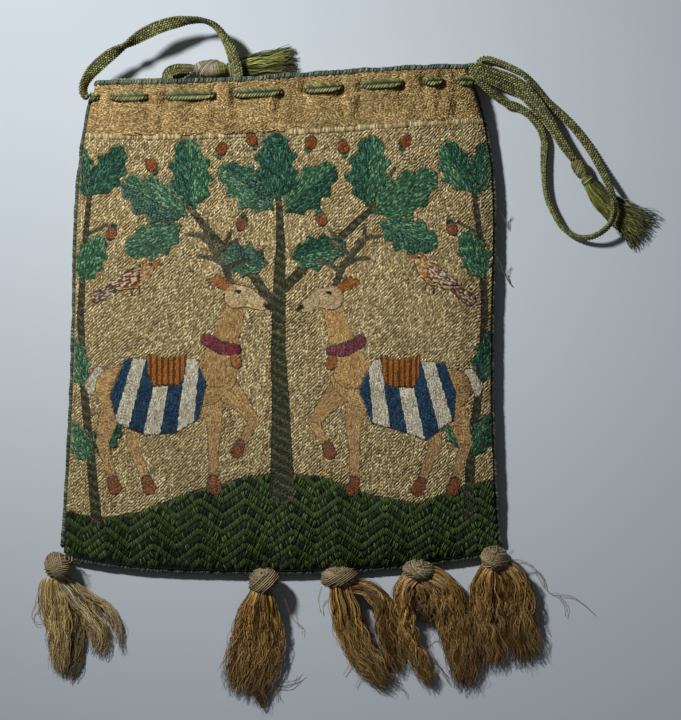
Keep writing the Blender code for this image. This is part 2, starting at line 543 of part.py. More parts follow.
def build():
    for thing in list(bpy.data.objects):
        bpy.data.objects.remove(thing, do_unlink=True)
    stitched = material("split stitched linen", "b8a47c", 0.85)
    plain = material("plain linen back", "a8946c", 0.9)
    gold = material("golden silk header", "bf9a5c", 0.75)
    silk = material("thin silk lining", "8a5a4a", 0.6)
    binding = material("grey green whipping", "4d6a5c", 0.8)
    edging = material("dark green edging", "3a4a34", 0.85)
    braid = material("green silk braid", "5f6b2c", 0.6)
    pale = material("pale wound thread", "a89878", 0.85)
    green_floss = material("green silk floss", "55682a", 0.6)
    golden_floss = material("golden brown silk floss", "9a7440", 0.65)

    panel_us = spread(19)
    panel_vs = (spread(19) + 1) / 2 * BORDER_V
    cloth_sheet("front_panel", panel_us, panel_vs, front_surface, PANEL_WALL, stitched, True)
    cloth_sheet("back_panel", panel_us, panel_vs, back_surface, PANEL_WALL, plain, False)
    lining_pouch(silk)

    header_us = np.linspace(-1, 1, 37)
    header_vs = np.linspace(BORDER_V + SEAM_GAP / CLOTH_HEIGHT, 1, 4)
    front = cloth_sheet("header_front", header_us, header_vs, front_surface, HEADER_WALL, gold, True)
    front_eyelets = np.array(FRONT_EYELETS) * MOUTH_WIDTH / 2
    back_eyelets = np.array(BACK_EYELETS) * MOUTH_WIDTH / 2
    cut_eyelets(front, front_eyelets, True)
    back = cloth_sheet("header_back", header_us, header_vs, back_surface, HEADER_WALL, gold, False)
    cut_eyelets(back, back_eyelets, False)

    us = np.linspace(-0.985, 0.985, 21)
    x = plan(us, 1)[0]
    y = outline_mouth(us) - BINDING_RADIUS
    z = front_surface(us, 1) - HEADER_WALL / 2
    tube("mouth_binding_front", np.stack([x, y, z], axis=1), BINDING_RADIUS, binding)
    z = back_surface(us, 1) + max(HEADER_WALL / 2, BINDING_RADIUS - MOUTH_BACK_LIFT)
    tube("mouth_binding_back", np.stack([x, y, z], axis=1), BINDING_RADIUS, binding)

    seam_v = np.linspace(SIDE_EDGING_START / CLOTH_HEIGHT, SIDE_EDGING_END, 19)
    seam_z = (back_surface(1, seam_v) + front_edge(seam_v)) / 2
    x = outline_left(seam_v) + EDGING_RADIUS
    tube("side_edging_left", np.stack([x, plan(-1, seam_v)[1], seam_z], axis=1), EDGING_RADIUS, edging)
    x = outline_right(seam_v) - EDGING_RADIUS
    tube("side_edging_right", np.stack([x, plan(1, seam_v)[1], seam_z], axis=1), EDGING_RADIUS, edging)
    us = np.linspace(-1, 1, 21)
    z = np.full_like(us, BOTTOM_SEAM_LIFT + PANEL_WALL + SEAM_GAP / 2)
    y = outline_bottom(us) + EDGING_RADIUS
    x = plan(us, 0)[0] + EDGE_ALLOWANCE * us
    tube("bottom_edging", np.stack([x, y, z], axis=1), EDGING_RADIUS, edging)

    threaded_braid("drawstring_front_run", FRONT_RUN, front_eyelets, True, True, braid)
    threaded_braid("drawstring_back_run", BACK_RUN, back_eyelets, False, False, braid)
    left_corner = mouth_corner(-1)
    right_corner = mouth_corner(1)
    for name, corner, route in (
        ("drawstring_left_arch", left_corner, LEFT_ARCH_ROUTE),
        ("drawstring_left_end", left_corner, LEFT_END_ROUTE),
        ("drawstring_right_loop", right_corner, RIGHT_LOOP_ROUTE),
        ("tail_cord_upper", right_corner, UPPER_TAIL_ROUTE),
        ("tail_cord_lower", right_corner, LOWER_TAIL_ROUTE),
    ):
        points, length = smooth_route(np.array(route) + corner, CORD_POINT_SPACING)
        tube(name, points, FREE_CORD_RADIUS, braid)
        print(name, f"{length:.1f} mm long")

    shares = np.linspace(0, 1, 9)
    barrel = LEFT_KNOT_RADIUS * (0.86 + 0.14 * np.sin(math.pi * shares))
    stations = list(zip(shares * LEFT_KNOT_LENGTH, barrel))
    knot_face = left_corner + LEFT_KNOT_FACE
    lathe("left_knot", knot_face, 0, stations, pale)
    knot_end = knot_face + (LEFT_KNOT_LENGTH, 0, 0)
    cord_tassel("left_tassel", knot_end, LEFT_TASSEL_TURN, 0, LEFT_TASSEL_LENGTH, 2.0,
                (2.0, 3.4, 4.0, 4.4, 4.7), (1.9, 2.1, 2.1, 1.9, 1.6), green_floss)

    neck = RIGHT_NECK_RADIUS * (1 - 0.1 * shares)
    stations = list(zip(shares * RIGHT_NECK_LENGTH, neck))
    neck_end = right_corner + RIGHT_NECK_FACE
    lathe("right_neck_wrap", neck_end, RIGHT_NECK_HEADING, stations, pale)
    heading = math.radians(RIGHT_NECK_HEADING)
    neck_end = neck_end + RIGHT_NECK_LENGTH * np.array([math.cos(heading), math.sin(heading), 0])
    cord_tassel("right_tassel", neck_end, RIGHT_NECK_HEADING, RIGHT_TASSEL_TURN, RIGHT_TASSEL_LENGTH, 2.2,
                (2.2, 3.6, 4.2, 5.0, 6.4), (2.1, 2.3, 2.2, 1.9, 1.5), green_floss)

    shades = {"knot": pale, "floss": golden_floss, "thread": edging}
    for name, *sizes in BOTTOM_TASSELS:
        bottom_tassel("tassel_" + name, *sizes, shades)


build()
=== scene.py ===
import math

import bpy
import numpy as np
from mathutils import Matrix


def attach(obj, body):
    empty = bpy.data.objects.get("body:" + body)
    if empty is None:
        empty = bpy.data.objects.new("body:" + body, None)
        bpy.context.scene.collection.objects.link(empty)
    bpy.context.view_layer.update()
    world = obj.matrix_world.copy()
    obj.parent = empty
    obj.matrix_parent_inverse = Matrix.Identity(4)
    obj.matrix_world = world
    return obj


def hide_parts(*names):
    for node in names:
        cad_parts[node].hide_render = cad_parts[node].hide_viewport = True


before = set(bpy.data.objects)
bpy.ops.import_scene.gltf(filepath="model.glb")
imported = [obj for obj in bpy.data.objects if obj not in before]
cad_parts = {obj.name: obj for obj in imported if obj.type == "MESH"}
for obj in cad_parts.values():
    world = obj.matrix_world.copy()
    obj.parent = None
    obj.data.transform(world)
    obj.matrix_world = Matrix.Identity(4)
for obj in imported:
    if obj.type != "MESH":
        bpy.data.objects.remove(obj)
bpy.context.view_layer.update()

# Embroidered drawstring purse lying on its back, mouth towards +Y. Sizes are in millimetres and
# buildMesh turns them into metres. The body's formulas are the CAD part's own, and the cords keep
# within 3 mm of its routes.

bag = {
    "height": 168.4, "bottomWidth": 149.2, "mouthWidth": 128.0, "leftBulge": 3.10, "rightBulge": 6.10,
    "leftRise": 5.8, "rightRise": 7.0, "mouthTilt": 2.7, "mouthDip": 0.9, "thick": 12.0, "mouthThick": 13.0,
    "seamLift": 0.4, "sideLift": 1.6, "mouthLift": 2.1, "mouthRoom": 1.9, "panelWall": 1.2,
    "headerWall": 1.4, "headerHeight": 18.5, "seamGap": 0.3, "edging": 0.8, "binding": 0.9, "rowBelow": 5.6,
    "quilt": 0.48,  # height of the soft unevenness that hand stitching leaves in the front
}
edgeIn = 2 * bag["edging"] + bag["seamGap"]
bindIn = 2 * bag["binding"] + bag["seamGap"]
clothHeight = bag["height"] - edgeIn - bindIn
borderV = 1 - (bag["headerHeight"] - bindIn) / clothHeight


def linear(text):  # sRGB hex to linear light
    parts = np.array([int(text[i:i + 2], 16) / 255 for i in (0, 2, 4)])
    return np.where(parts <= 0.04045, parts / 12.92, ((parts + 0.055) / 1.055) ** 2.4)


def shadesOf(palette):
    return np.array([linear(c) for c in palette])


def mixed(rng, palette, count):  # one colour of the palette by chance for each thread
    return shadesOf(palette)[rng.integers(0, len(palette), count)]


def unit(vectors):
    return vectors / np.linalg.norm(vectors, axis=-1, keepdims=True)


def sampled(wanted, lengths, *fields):  # each field, known by length along a path, at the wanted lengths
    return [np.stack([np.interp(wanted, lengths, column) for column in field.T], axis=-1) for field in fields]


def smoothStep(low, high, value):
    share = np.clip((value - low) / (high - low), 0, 1)
    return share * share * (3 - 2 * share)


def noiseAt(x, y, size, seed):  # smooth noise from -1 to 1 on a random lattice with that cell size
    table = np.random.default_rng(seed).uniform(-1, 1, (64, 64))
    gx, gy = np.asarray(x) / size + 1000.5, np.asarray(y) / size + 1000.5
    ix, iy = np.floor(gx).astype(int), np.floor(gy).astype(int)
    fx, fy = gx - ix, gy - iy
    fx, fy = fx * fx * (3 - 2 * fx), fy * fy * (3 - 2 * fy)
    a, b = table[ix % 64, iy % 64], table[(ix + 1) % 64, iy % 64]
    c, d = table[ix % 64, (iy + 1) % 64], table[(ix + 1) % 64, (iy + 1) % 64]
    return (a * (1 - fx) + b * fx) * (1 - fy) + (c * (1 - fx) + d * fx) * fy


# The bag's outline and its two faces
def outlineSide(v, bulge):
    taper = bag["bottomWidth"] + (bag["mouthWidth"] - bag["bottomWidth"]) * v
    return taper / 2 + bulge * np.sin(math.pi * np.clip(v, 0, 1) ** 2.6)


def outlineLeft(v):
    return -outlineSide(v, bag["leftBulge"])


def outlineRight(v):
    return outlineSide(v, bag["rightBulge"])


def outlineBottom(u):
    left = bag["leftRise"] * np.clip(-u, 0, 1) ** 3.2
    return -bag["height"] / 2 + left + bag["rightRise"] * np.clip(u, 0, 1) ** 2


def outlineMouth(u):
    return bag["height"] / 2 + bag["mouthTilt"] * np.sin(math.pi / 2 * u) - bag["mouthDip"] * (1 - u * u) ** 2


def plan(u, v):  # straight blend between the four outlines, in by the edging and the binding
    left, right = outlineLeft(v) + edgeIn, outlineRight(v) - edgeIn
    bottom, top = outlineBottom(u) + edgeIn, outlineMouth(u) - bindIn
    return left + (right - left) * (u + 1) / 2, bottom + (top - bottom) * v


def planInverse(x, y):  # u and v at a place, by repeated correction of a first guess
    x, y = np.asarray(x, float), np.asarray(y, float)
    u, v = np.zeros_like(x), np.full_like(x, 0.5)
    for _ in range(6):
        left, right = outlineLeft(v) + edgeIn, outlineRight(v) - edgeIn
        u = 2 * (x - left) / (right - left) - 1
        across = np.clip(u, -1, 1)
        bottom, top = outlineBottom(across) + edgeIn, outlineMouth(across) - bindIn
        v = (y - bottom) / (top - bottom)
    return u, v


def backEdge(v):
    return bag["seamLift"] + (bag["sideLift"] - bag["seamLift"]) * smoothStep(0, 0.15, v)


def backHeight(u, v):  # flat on the table, curled up at the seams, lifted at the mouth
    side = np.clip((np.abs(u) - 0.8) / 0.2, 0, 1) ** 2
    bottom = np.clip((0.1 - v) / 0.1, 0, 1) ** 2
    seam = 1 - (1 - side) * (1 - bottom)
    lift = bag["mouthLift"] * smoothStep(0.87, 0.955, v)
    return np.maximum(backEdge(v), lift) * seam + lift * (1 - seam)


def frontEdge(v):
    mouth = smoothStep(0.85, 0.95, v)
    walls = 2 * (bag["panelWall"] + (bag["headerWall"] - bag["panelWall"]) * mouth)
    return backEdge(v) + walls + bag["seamGap"] + bag["mouthRoom"] * mouth


def frontHeight(u, v):  # a low pillow, flat in the middle
    crown = bag["thick"] + (bag["mouthThick"] - bag["thick"]) * smoothStep(0.8, 0.95, v)
    fullness = (1 - np.minimum(np.abs(u), 1) ** 6) * (1 - (1 - np.clip(v, 0, 1)) ** 14)
    return frontEdge(v) + (crown - frontEdge(v)) * fullness


def cornerOfMouth(side):
    x = outlineLeft(1.0) if side < 0 else outlineRight(1.0)
    return np.array([float(x), float(outlineMouth(side)), 0.0])


# Meshes and materials
def buildMesh(name, points, faces, material, body="bag", colours=None, uvs=None, replaced=(), slot=None):
    # points in millimetres, faces as arrays of one width each, colours and uvs by point
    mesh = bpy.data.meshes.new(name)
    groups = [np.asarray(f, dtype=np.int32) for f in (faces if isinstance(faces, list) else [faces])]
    loops = np.concatenate([g.ravel() for g in groups])
    totals = np.concatenate([np.full(len(g), g.shape[1], dtype=np.int32) for g in groups])
    starts = np.concatenate([[0], np.cumsum(totals)[:-1]]).astype(np.int32)
    mesh.vertices.add(len(points))
    mesh.vertices.foreach_set("co", (np.asarray(points, dtype=np.float32) * 0.001).ravel())
    mesh.loops.add(len(loops))
    mesh.loops.foreach_set("vertex_index", loops)
    mesh.polygons.add(len(totals))
    mesh.polygons.foreach_set("loop_start", starts)
    mesh.polygons.foreach_set("loop_total", totals)
    mesh.polygons.foreach_set("use_smooth", np.ones(len(totals), dtype=bool))
    if uvs is not None:
        layer = mesh.uv_layers.new(name="surfaceMap")
        layer.data.foreach_set("uv", np.asarray(uvs, dtype=np.float32)[loops].ravel())
    if colours is not None:
        layer = mesh.color_attributes.new("threadColour", "FLOAT_COLOR", "POINT")
        rgba = np.ones((len(points), 4), dtype=np.float32)
        rgba[:, :3] = colours
        layer.data.foreach_set("color", rgba.ravel())
    mesh.update(calc_edges=True)
    mesh.validate()
    mesh.materials.append(material)
    piece = bpy.data.objects.new(name, mesh)
    bpy.context.scene.collection.objects.link(piece)
    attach(piece, body)
    if replaced:
        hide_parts(*replaced)
    return piece


def addNode(tree, kind, links=None, **settings):  # one node, its settings by name, its inputs by source
    made = tree.nodes.new(kind)
    for key, value in settings.items():
        if hasattr(made, key):
            setattr(made, key, value)
        else:
            made.inputs[key.replace("_", " ")].default_value = value
    for key, source in (links or {}).items():
        tree.links.new(source, made.inputs[key])
    return made


def newMaterial(name):
    material = bpy.data.materials.new(name)
    material.use_nodes = True
    tree = material.node_tree
    return material, tree, tree.nodes["Principled BSDF"]


def gridFaces(rows, columns, wrap=False):  # quads of a grid of points; wrap joins last column and first
    i, j = np.meshgrid(np.arange(rows - 1), np.arange(columns if wrap else columns - 1), indexing="ij")
    nextJ = (j + 1) % columns
    corners = (i * columns + j, i * columns + nextJ, (i + 1) * columns + nextJ, (i + 1) * columns + j)
    return np.stack(corners, axis=-1).reshape(-1, 4)


def closedTubes(rings, tips):
    # rings (tubes, rings, sides, 3) and both tips of each tube, as points and faces; then each point's
    # share of the way round and the number of points in a tube
    count, steps, sides = rings.shape[:3]
    points = np.concatenate([rings.reshape(count, -1, 3), tips], axis=1)
    k, firstTip, lastRing = np.arange(sides), steps * sides, (steps - 1) * sides
    start = np.stack([np.full(sides, firstTip), (k + 1) % sides, k], axis=1)
    end = np.stack([np.full(sides, firstTip + 1), lastRing + k, lastRing + (k + 1) % sides], axis=1)
    perTube = firstTip + 2
    offset = (np.arange(count) * perTube)[:, None, None]
    faces = [(f + offset).reshape(-1, f.shape[1]) for f in (gridFaces(steps, sides, wrap=True), start, end)]
    u = np.concatenate([np.tile(np.arange(sides) / sides, steps), [0.5, 0.5]])
    return points.reshape(-1, 3), faces, u, perTube


def manyGrains(centres, along, side, up, length, width, thick, rings=4, sides=6, droop=0.0):
    # spindles: radius (sin pi t)^0.6 at share t of the length, ends dropped by droop times (2t - 1)^2
    count = len(centres)
    length, width, thick = (np.broadcast_to(v, count)[:, None, None, None] for v in (length, width, thick))
    ringT = (np.arange(rings) + 0.5) / rings
    t = ringT[None, :, None, None]
    turn = (np.arange(sides) / sides * 2 * math.pi)[None, None, :, None]
    fat = np.sin(math.pi * t) ** 0.6 / 2
    c, a, s, n = (v[:, None, None, :] for v in (centres, along, side, up))
    body = c + a * length * (t - 0.5) + s * width * fat * np.cos(turn)
    body = body + n * (thick * fat * np.sin(turn) - droop * (2 * t - 1) ** 2)
    reach = along * length[:, 0, 0] / 2
    tips = np.stack([centres - reach - up * droop, centres + reach - up * droop], axis=1)
    points, faces, u, perGrain = closedTubes(body, tips)
    v = np.concatenate([np.repeat(ringT, sides), [0, 1]])
    return points, faces, np.tile(np.stack([u, v], axis=1), (count, 1)), perGrain


def manyTubes(paths, radii, sides=4):
    # round threads: paths is (threads, points, 3) and radii (threads, points), ends closed by a point
    count = len(paths)
    tangent = np.gradient(paths, axis=1)
    tangent /= np.linalg.norm(tangent, axis=2, keepdims=True) + 1e-9
    helper = np.where(np.abs(tangent[..., 2:]) > 0.9, np.array([1.0, 0, 0]), np.array([0, 0, 1.0]))
    side = np.cross(helper, tangent)
    side /= np.linalg.norm(side, axis=2, keepdims=True) + 1e-9
    up = np.cross(tangent, side)
    turn = (np.arange(sides) / sides * 2 * math.pi)[None, None, :, None]
    outward = side[:, :, None] * np.cos(turn) + up[:, :, None] * np.sin(turn)
    rings = paths[:, :, None] + radii[:, :, None, None] * outward
    first, last = tangent[:, 0] * radii[:, :1], tangent[:, -1] * radii[:, -1:]
    tips = np.stack([paths[:, 0] - first, paths[:, -1] + last], axis=1)
    points, faces, u, perTube = closedTubes(rings, tips)
    steps = np.cumsum(np.linalg.norm(np.diff(paths, axis=1), axis=2), axis=1)
    lengths = np.concatenate([np.zeros((count, 1)), steps], axis=1)
    v = np.concatenate([np.repeat(lengths, sides, axis=1), lengths[:, :1], lengths[:, -1:]], axis=1)
    return points, faces, np.stack([np.tile(u, (count, 1)), v], axis=-1).reshape(-1, 2), perTube


def joinParts(parts):  # several (points, faces, uvs, colours) as one
    points, faces, uvs, colours, base = [], {3: [], 4: []}, [], [], 0
    for somePoints, someFaces, someUvs, someColours in parts:
        for group in someFaces:
            faces[group.shape[1]].append(group + base)
        points.append(somePoints)
        uvs.append(someUvs)
        colours.append(np.broadcast_to(someColours, (len(somePoints), 3)))
        base += len(somePoints)
    joined = [np.concatenate(g) for g in faces.values() if g]
    return np.concatenate(points), joined, np.concatenate(uvs), np.concatenate(colours)


def buildParts(name, parts, material, **rest):
    points, faces, uvs, colours = joinParts(parts)
    return buildMesh(name, points, faces, material, colours=colours, uvs=uvs, **rest)


def threadMaterial(name, rough, sheen, filaments=5.0, glow=0.22, bump=0.35):
    # Twisted or floss thread: its colour is carried by the piece's own attribute, fine filament
    # lines run along each thread, and slow blotches give the unevenness of old dye.
    material, tree, shader = newMaterial(name)
    colour = addNode(tree, "ShaderNodeVertexColor", layer_name="threadColour")
    place = addNode(tree, "ShaderNodeTexCoord")
    uv = addNode(tree, "ShaderNodeUVMap", uv_map="surfaceMap")
    blotch = addNode(tree, "ShaderNodeTexNoise", {"Vector": place.outputs["Object"]}, Scale=260.0, Detail=3.0)
    fine = addNode(tree, "ShaderNodeTexNoise", {"Vector": place.outputs["Object"]}, Scale=2600.0, Detail=2.0)
    both = {0: blotch.outputs["Fac"], 1: fine.outputs["Fac"]}
    both = addNode(tree, "ShaderNodeMath", both, operation="ADD")
    level = addNode(tree, "ShaderNodeMapRange", {"Value": both.outputs[0]}, From_Min=0.6, From_Max=1.4,
                    To_Min=1 - glow, To_Max=1 + glow)
    tinted = {0: colour.outputs["Color"], "Scale": level.outputs["Result"]}
    tint = addNode(tree, "ShaderNodeVectorMath", tinted, operation="SCALE")
    tree.links.new(tint.outputs[0], shader.inputs["Base Color"])
    parts = addNode(tree, "ShaderNodeSeparateXYZ", {"Vector": uv.outputs["UV"]})
    across = addNode(tree, "ShaderNodeMath", {0: parts.outputs["X"]}, operation="MULTIPLY")
    across.inputs[1].default_value = filaments * 2 * math.pi
    lines = addNode(tree, "ShaderNodeMath", {0: across.outputs[0]}, operation="SINE")
    relief = addNode(tree, "ShaderNodeBump", {"Height": lines.outputs[0]}, Strength=bump, Distance=0.00008)
    tree.links.new(relief.outputs["Normal"], shader.inputs["Normal"])
    shader.inputs["Roughness"].default_value = rough
    shader.inputs["Sheen Weight"].default_value = sheen
    shader.inputs["Sheen Roughness"].default_value = 0.4
    shader.inputs["IOR"].default_value = 1.5
    return material


# The flat braid: olive green silk, plaited by hand from many strands
braid = {
    "thickness": 1.3, "slant": 36, "strand": 0.86, "face": 0.94, "clearOfTable": 0.12,
    # the core is near black: painted shade in the gaps between the strand ends
    "colours": ("73743a", "62642f", "838548", "525428", "909254"), "core": "1c1e10",
}
silkBraid = threadMaterial("olive silk braid", rough=0.5, sheen=0.2, filaments=4, glow=0.08)


def smoothRoute(route, spacing):  # Catmull-Rom through the points, then evenly spaced
    route = np.asarray(route, float)
    padded = np.vstack([2 * route[0] - route[1], route, 2 * route[-1] - route[-2]])
    dense = []
    for i in range(len(route) - 1):
        before, start, end, after = padded[i:i + 4]
        t = np.linspace(0, 1, 12, endpoint=False)[:, None]
        cubic = 2 * start + (end - before) * t + (2 * before - 5 * start + 4 * end - after) * t**2
        dense.append((cubic + (3 * start - before - 3 * end + after) * t**3) / 2)
    dense = np.vstack([*dense, route[-1:]])
    lengths = np.concatenate([[0], np.cumsum(np.linalg.norm(np.diff(dense, axis=0), axis=1))])
    count = max(int(round(lengths[-1] / spacing)), 2) + 1
    wanted = np.linspace(0, lengths[-1], count)
    return sampled(wanted, lengths, dense)[0], lengths[-1]


def ribbonFrame(path, turns):
    # along, across and out of the braid's face at each point; turns are (share, degrees of lean from flat)
    along = unit(np.gradient(path, axis=0))
    across = np.cross([0, 0, 1.0], along)
    across = across / np.maximum(np.linalg.norm(across, axis=1, keepdims=True), 1e-6)
    out = np.cross(along, across)
    share = np.linspace(0, 1, len(path))
    lean = np.radians(np.interp(share, [s for s, _ in turns], [d for _, d in turns]))[:, None]
    return along, across * np.cos(lean) + out * np.sin(lean), out * np.cos(lean) - across * np.sin(lean)


def flatTube(path, across, out, half, thin, sides=8):  # the dark core inside a braid, a painted shade that shows in the gaps between its strands
    turn = np.linspace(0, 2 * math.pi, sides, endpoint=False)
    ring = path[:, None] + across[:, None] * (half * np.cos(turn))[..., None]
    ring = ring + out[:, None] * (thin * np.sin(turn))[None, :, None]
    points, faces, _, _ = closedTubes(ring[None], path[None, [0, -1]])
    return points, faces, np.zeros((len(points), 2)), linear(braid["core"])


def braidParts(path, frameOf, width, thickness, columns, seed, pitch, slant, palette):
    # a thin core, and on both faces columns of slanted strand ends, left and right in turn
    along, across, out = frameOf
    rng = np.random.default_rng(seed)
    lengths = np.concatenate([[0], np.cumsum(np.linalg.norm(np.diff(path, axis=0), axis=1))])
    width = np.broadcast_to(width, len(path))
    narrow = 0.8 if columns == 2 else 0.93
    parts = [flatTube(path, across, out, width[:, None] / 2 * narrow, thickness / 2 * 0.7)]
    steps = int(lengths[-1] / pitch)
    for face in (1, -1):
        k, c = np.meshgrid(np.arange(steps), np.arange(columns), indexing="ij")
        k, c = k.ravel(), c.ravel()
        s = (k + 0.5 + 0.5 * (c % 2)) * pitch + rng.normal(0, 0.03, len(k))
        s = np.clip(s, 0, lengths[-1])
        wide = np.interp(s, lengths, width)
        offset = ((c + 0.5) / columns - 0.5) * wide * braid["face"]
        bulge = np.sqrt(np.clip(1 - (2 * offset / wide) ** 2, 0.12, 1)) * thickness * 0.36
        middle, a, w, n = sampled(s, lengths, path, along, across, out)
        n = n * face
        lean = np.radians(slant) * np.where(c % 2 == 0, 1, -1)
        direction = a * np.cos(lean)[:, None] + w * np.sin(lean)[:, None]
        sideways = np.cross(n, direction)
        centre = middle + w * offset[:, None] + n * bulge[:, None]
        long = np.maximum(pitch * 1.32, wide / columns * 1.3) * rng.uniform(0.92, 1.06, len(k))
        fat = np.minimum(wide / columns * (1.1 if columns == 2 else braid["strand"]), pitch * 0.8)
        points, faces, uvs, per = manyGrains(centre, direction, sideways, n, long, fat, thickness * 0.5,
                                             rings=3, sides=6, droop=0.1)
        pick = mixed(rng, palette, len(k)) * rng.uniform(0.76, 1.2, (len(k), 1))
        parts.append((points, faces, uvs, np.repeat(pick, per, axis=0)))
    return parts


def braidPiece(name, route, seed, node, widths, turns, columns, pitch):
    path, length = smoothRoute(route, 0.7)
    along, across, out = ribbonFrame(path, turns)
    width = np.interp(np.linspace(0, 1, len(path)), *zip(*widths))
    reach = np.abs(across[:, 2]) * width / 2 + np.abs(out[:, 2]) * braid["thickness"] / 2
    path[:, 2] = np.maximum(path[:, 2], reach + braid["clearOfTable"])
    parts = braidParts(path, (along, across, out), width, braid["thickness"], columns, seed, pitch,
                       braid["slant"], braid["colours"])
    return buildParts(name, parts, silkBraid, replaced=(node,), slot="green_braid"), path, length


leftCorner, rightCorner = cornerOfMouth(-1), cornerOfMouth(1)
routes = {  # millimetres from the mouth's left or right corner
    "arch": leftCorner + [
        (-0.2, -5.8, 7.8), (-1.3, -5.5, 7.5), (-2.0, -3.8, 7.5), (-1.6, -1.2, 8.0), (0.3, 1.9, 8.8),
        (3.4, 5.1, 9.7), (7.8, 8.7, 10.4), (13.0, 11.9, 10.8), (18.8, 15.4, 10.9), (24.7, 18.0, 10.7),
        (31.6, 19.6, 10.2), (37.5, 19.8, 9.6), (41.7, 18.3, 9.0), (44.9, 14.7, 8.3), (47.4, 10.0, 7.5),
        (48.8, 5.1, 6.8), (49.2, 1.1, 6.6), (48.4, -2.2, 6.6), (45.4, -4.1, 6.6), (40.5, -4.7, 6.7),
        (35.0, -4.3, 7.0), (30.0, -2.9, 7.5), (26.4, -0.5, 7.7), (26.6, 2.4, 7.1), (29.0, 3.7, 6.1),
        (31.5, 3.9, 4.9), (34.4, 3.9, 4.3)],
    "shortEnd": leftCorner + [
        (10.0, -6.0, 5.0), (8.6, -5.8, 5.0), (7.0, -4.7, 5.1), (6.5, -2.9, 5.3), (7.4, -1.2, 5.5),
        (9.4, -0.7, 5.5), (14.0, -0.8, 5.5), (19.5, -0.7, 5.3), (23.5, -0.6, 5.0), (26.4, 0.0, 4.3),
        (29.2, 1.0, 3.3), (31.9, 2.4, 2.5), (34.4, 3.8, 2.3)],
    "pullLoop": rightCorner + [
        (0.8, -5.6, 7.5), (2.6, -6.1, 7.1), (4.9, -8.2, 6.2), (8.4, -11.1, 4.2), (11.2, -12.9, 2.8),
        (14.3, -13.8, 1.9), (17.7, -15.7, 1.4), (20.8, -18.6, 1.2), (23.0, -21.8, 1.2), (24.2, -25.6, 1.2),
        (24.2, -28.5, 1.2), (24.0, -33.9, 1.2), (24.4, -40.4, 1.2), (25.4, -45.5, 1.2), (27.6, -50.3, 1.2),
        (30.1, -54.3, 1.3), (33.8, -57.2, 1.9), (37.4, -58.1, 3.2), (41.4, -57.2, 4.6), (45.1, -54.6, 5.4),
        (47.2, -51.0, 5.6), (47.6, -47.0, 5.6), (46.6, -43.0, 5.4), (45.1, -39.3, 4.2), (42.9, -34.6, 2.3),
        (40.0, -29.2, 1.3), (36.7, -24.5, 1.2), (33.1, -20.1, 1.2), (28.4, -15.5, 1.2), (24.3, -11.7, 1.2),
        (22.4, -9.3, 1.2), (19.9, -6.2, 1.2), (16.8, -3.1, 1.2), (13.1, -1.0, 1.2), (8.4, 1.0, 1.3),
        (4.6, 1.9, 1.7), (2.4, 0.7, 2.2), (2.9, -1.9, 2.8), (3.4, -4.0, 3.4), (2.6, -5.3, 3.9),
        (0.9, -5.6, 4.3)],
    "upperTail": rightCorner + [
        (-3.4, -1.6, 5.0), (-1.2, -1.0, 6.0), (1.4, -1.0, 6.3), (4.0, -1.7, 6.0), (8.4, -3.1, 4.9),
        (13.1, -4.7, 4.0), (16.4, -6.7, 3.8), (19.4, -9.4, 3.8), (21.8, -12.4, 3.8), (23.8, -15.4, 3.8),
        (25.8, -18.4, 3.8), (27.3, -21.3, 3.8), (28.8, -24.2, 3.8), (31.3, -28.3, 3.8), (33.9, -31.9, 3.8)],
    "lowerTail": rightCorner + [
        (-2.4, -3.4, 5.4), (0.2, -3.6, 6.1), (2.0, -3.7, 6.1), (4.0, -4.5, 5.7), (7.7, -5.9, 4.3),
        (11.7, -7.7, 2.7), (15.1, -9.2, 1.6), (18.1, -11.4, 1.25), (20.4, -14.0, 1.25),
        (22.9, -16.7, 1.25), (25.4, -19.5, 1.25), (27.3, -22.1, 1.25), (28.8, -24.5, 1.25),
        (31.3, -28.3, 1.25), (33.9, -31.9, 1.25)],
}
tailWidths = ((0, 2.4), (0.15, 3.2), (0.9, 3.1), (1, 2.4))
freeBraids = {  # CAD node, widths and lean of the face by share of the length, columns, strand pitch
    "arch": ("drawstring_left_arch", ((0, 3.8), (0.1, 4.8), (0.85, 4.6), (1, 3.2)),
             ((0, 60), (0.05, 50), (0.12, 18), (0.17, 30), (0.215, 76), (0.26, 35), (0.31, 5), (0.38, 30),
              (0.41, 58), (0.465, 80), (0.53, 62), (0.585, 35), (0.65, 8), (1, 0)), 6, 0.92),
    "shortEnd": ("drawstring_left_end", ((0, 3.0), (0.7, 3.2), (0.85, 2.6), (1, 2.0)),
                 ((0, 0), (0.5, 10), (0.8, 30), (1, 0)), 2, 1.2),
    "pullLoop": ("drawstring_right_loop",
                 ((0, 2.2), (0.08, 2.9), (0.22, 2.9), (0.28, 2.4), (0.5, 2.4), (0.6, 2.9), (0.92, 2.9),
                  (1, 2.2)),
                 ((0, 0), (0.06, 30), (0.14, 20), (0.22, 30), (0.28, 56), (0.42, 58), (0.5, 56), (0.58, 35),
                  (0.64, 20), (0.75, 30), (0.82, 60), (0.92, 60), (1, 10)), 4, 0.95),
    "upperTail": ("tail_cord_upper", tailWidths, ((0, 15), (0.4, 12), (1, 0)), 4, 0.95),
    "lowerTail": ("tail_cord_lower", tailWidths, ((0, 15), (0.3, 20), (1, 0)), 4, 0.95),
}
for seed, (key, look) in enumerate(freeBraids.items()):
    braidPiece(key + "Braid", routes[key], 40 + seed, *look)


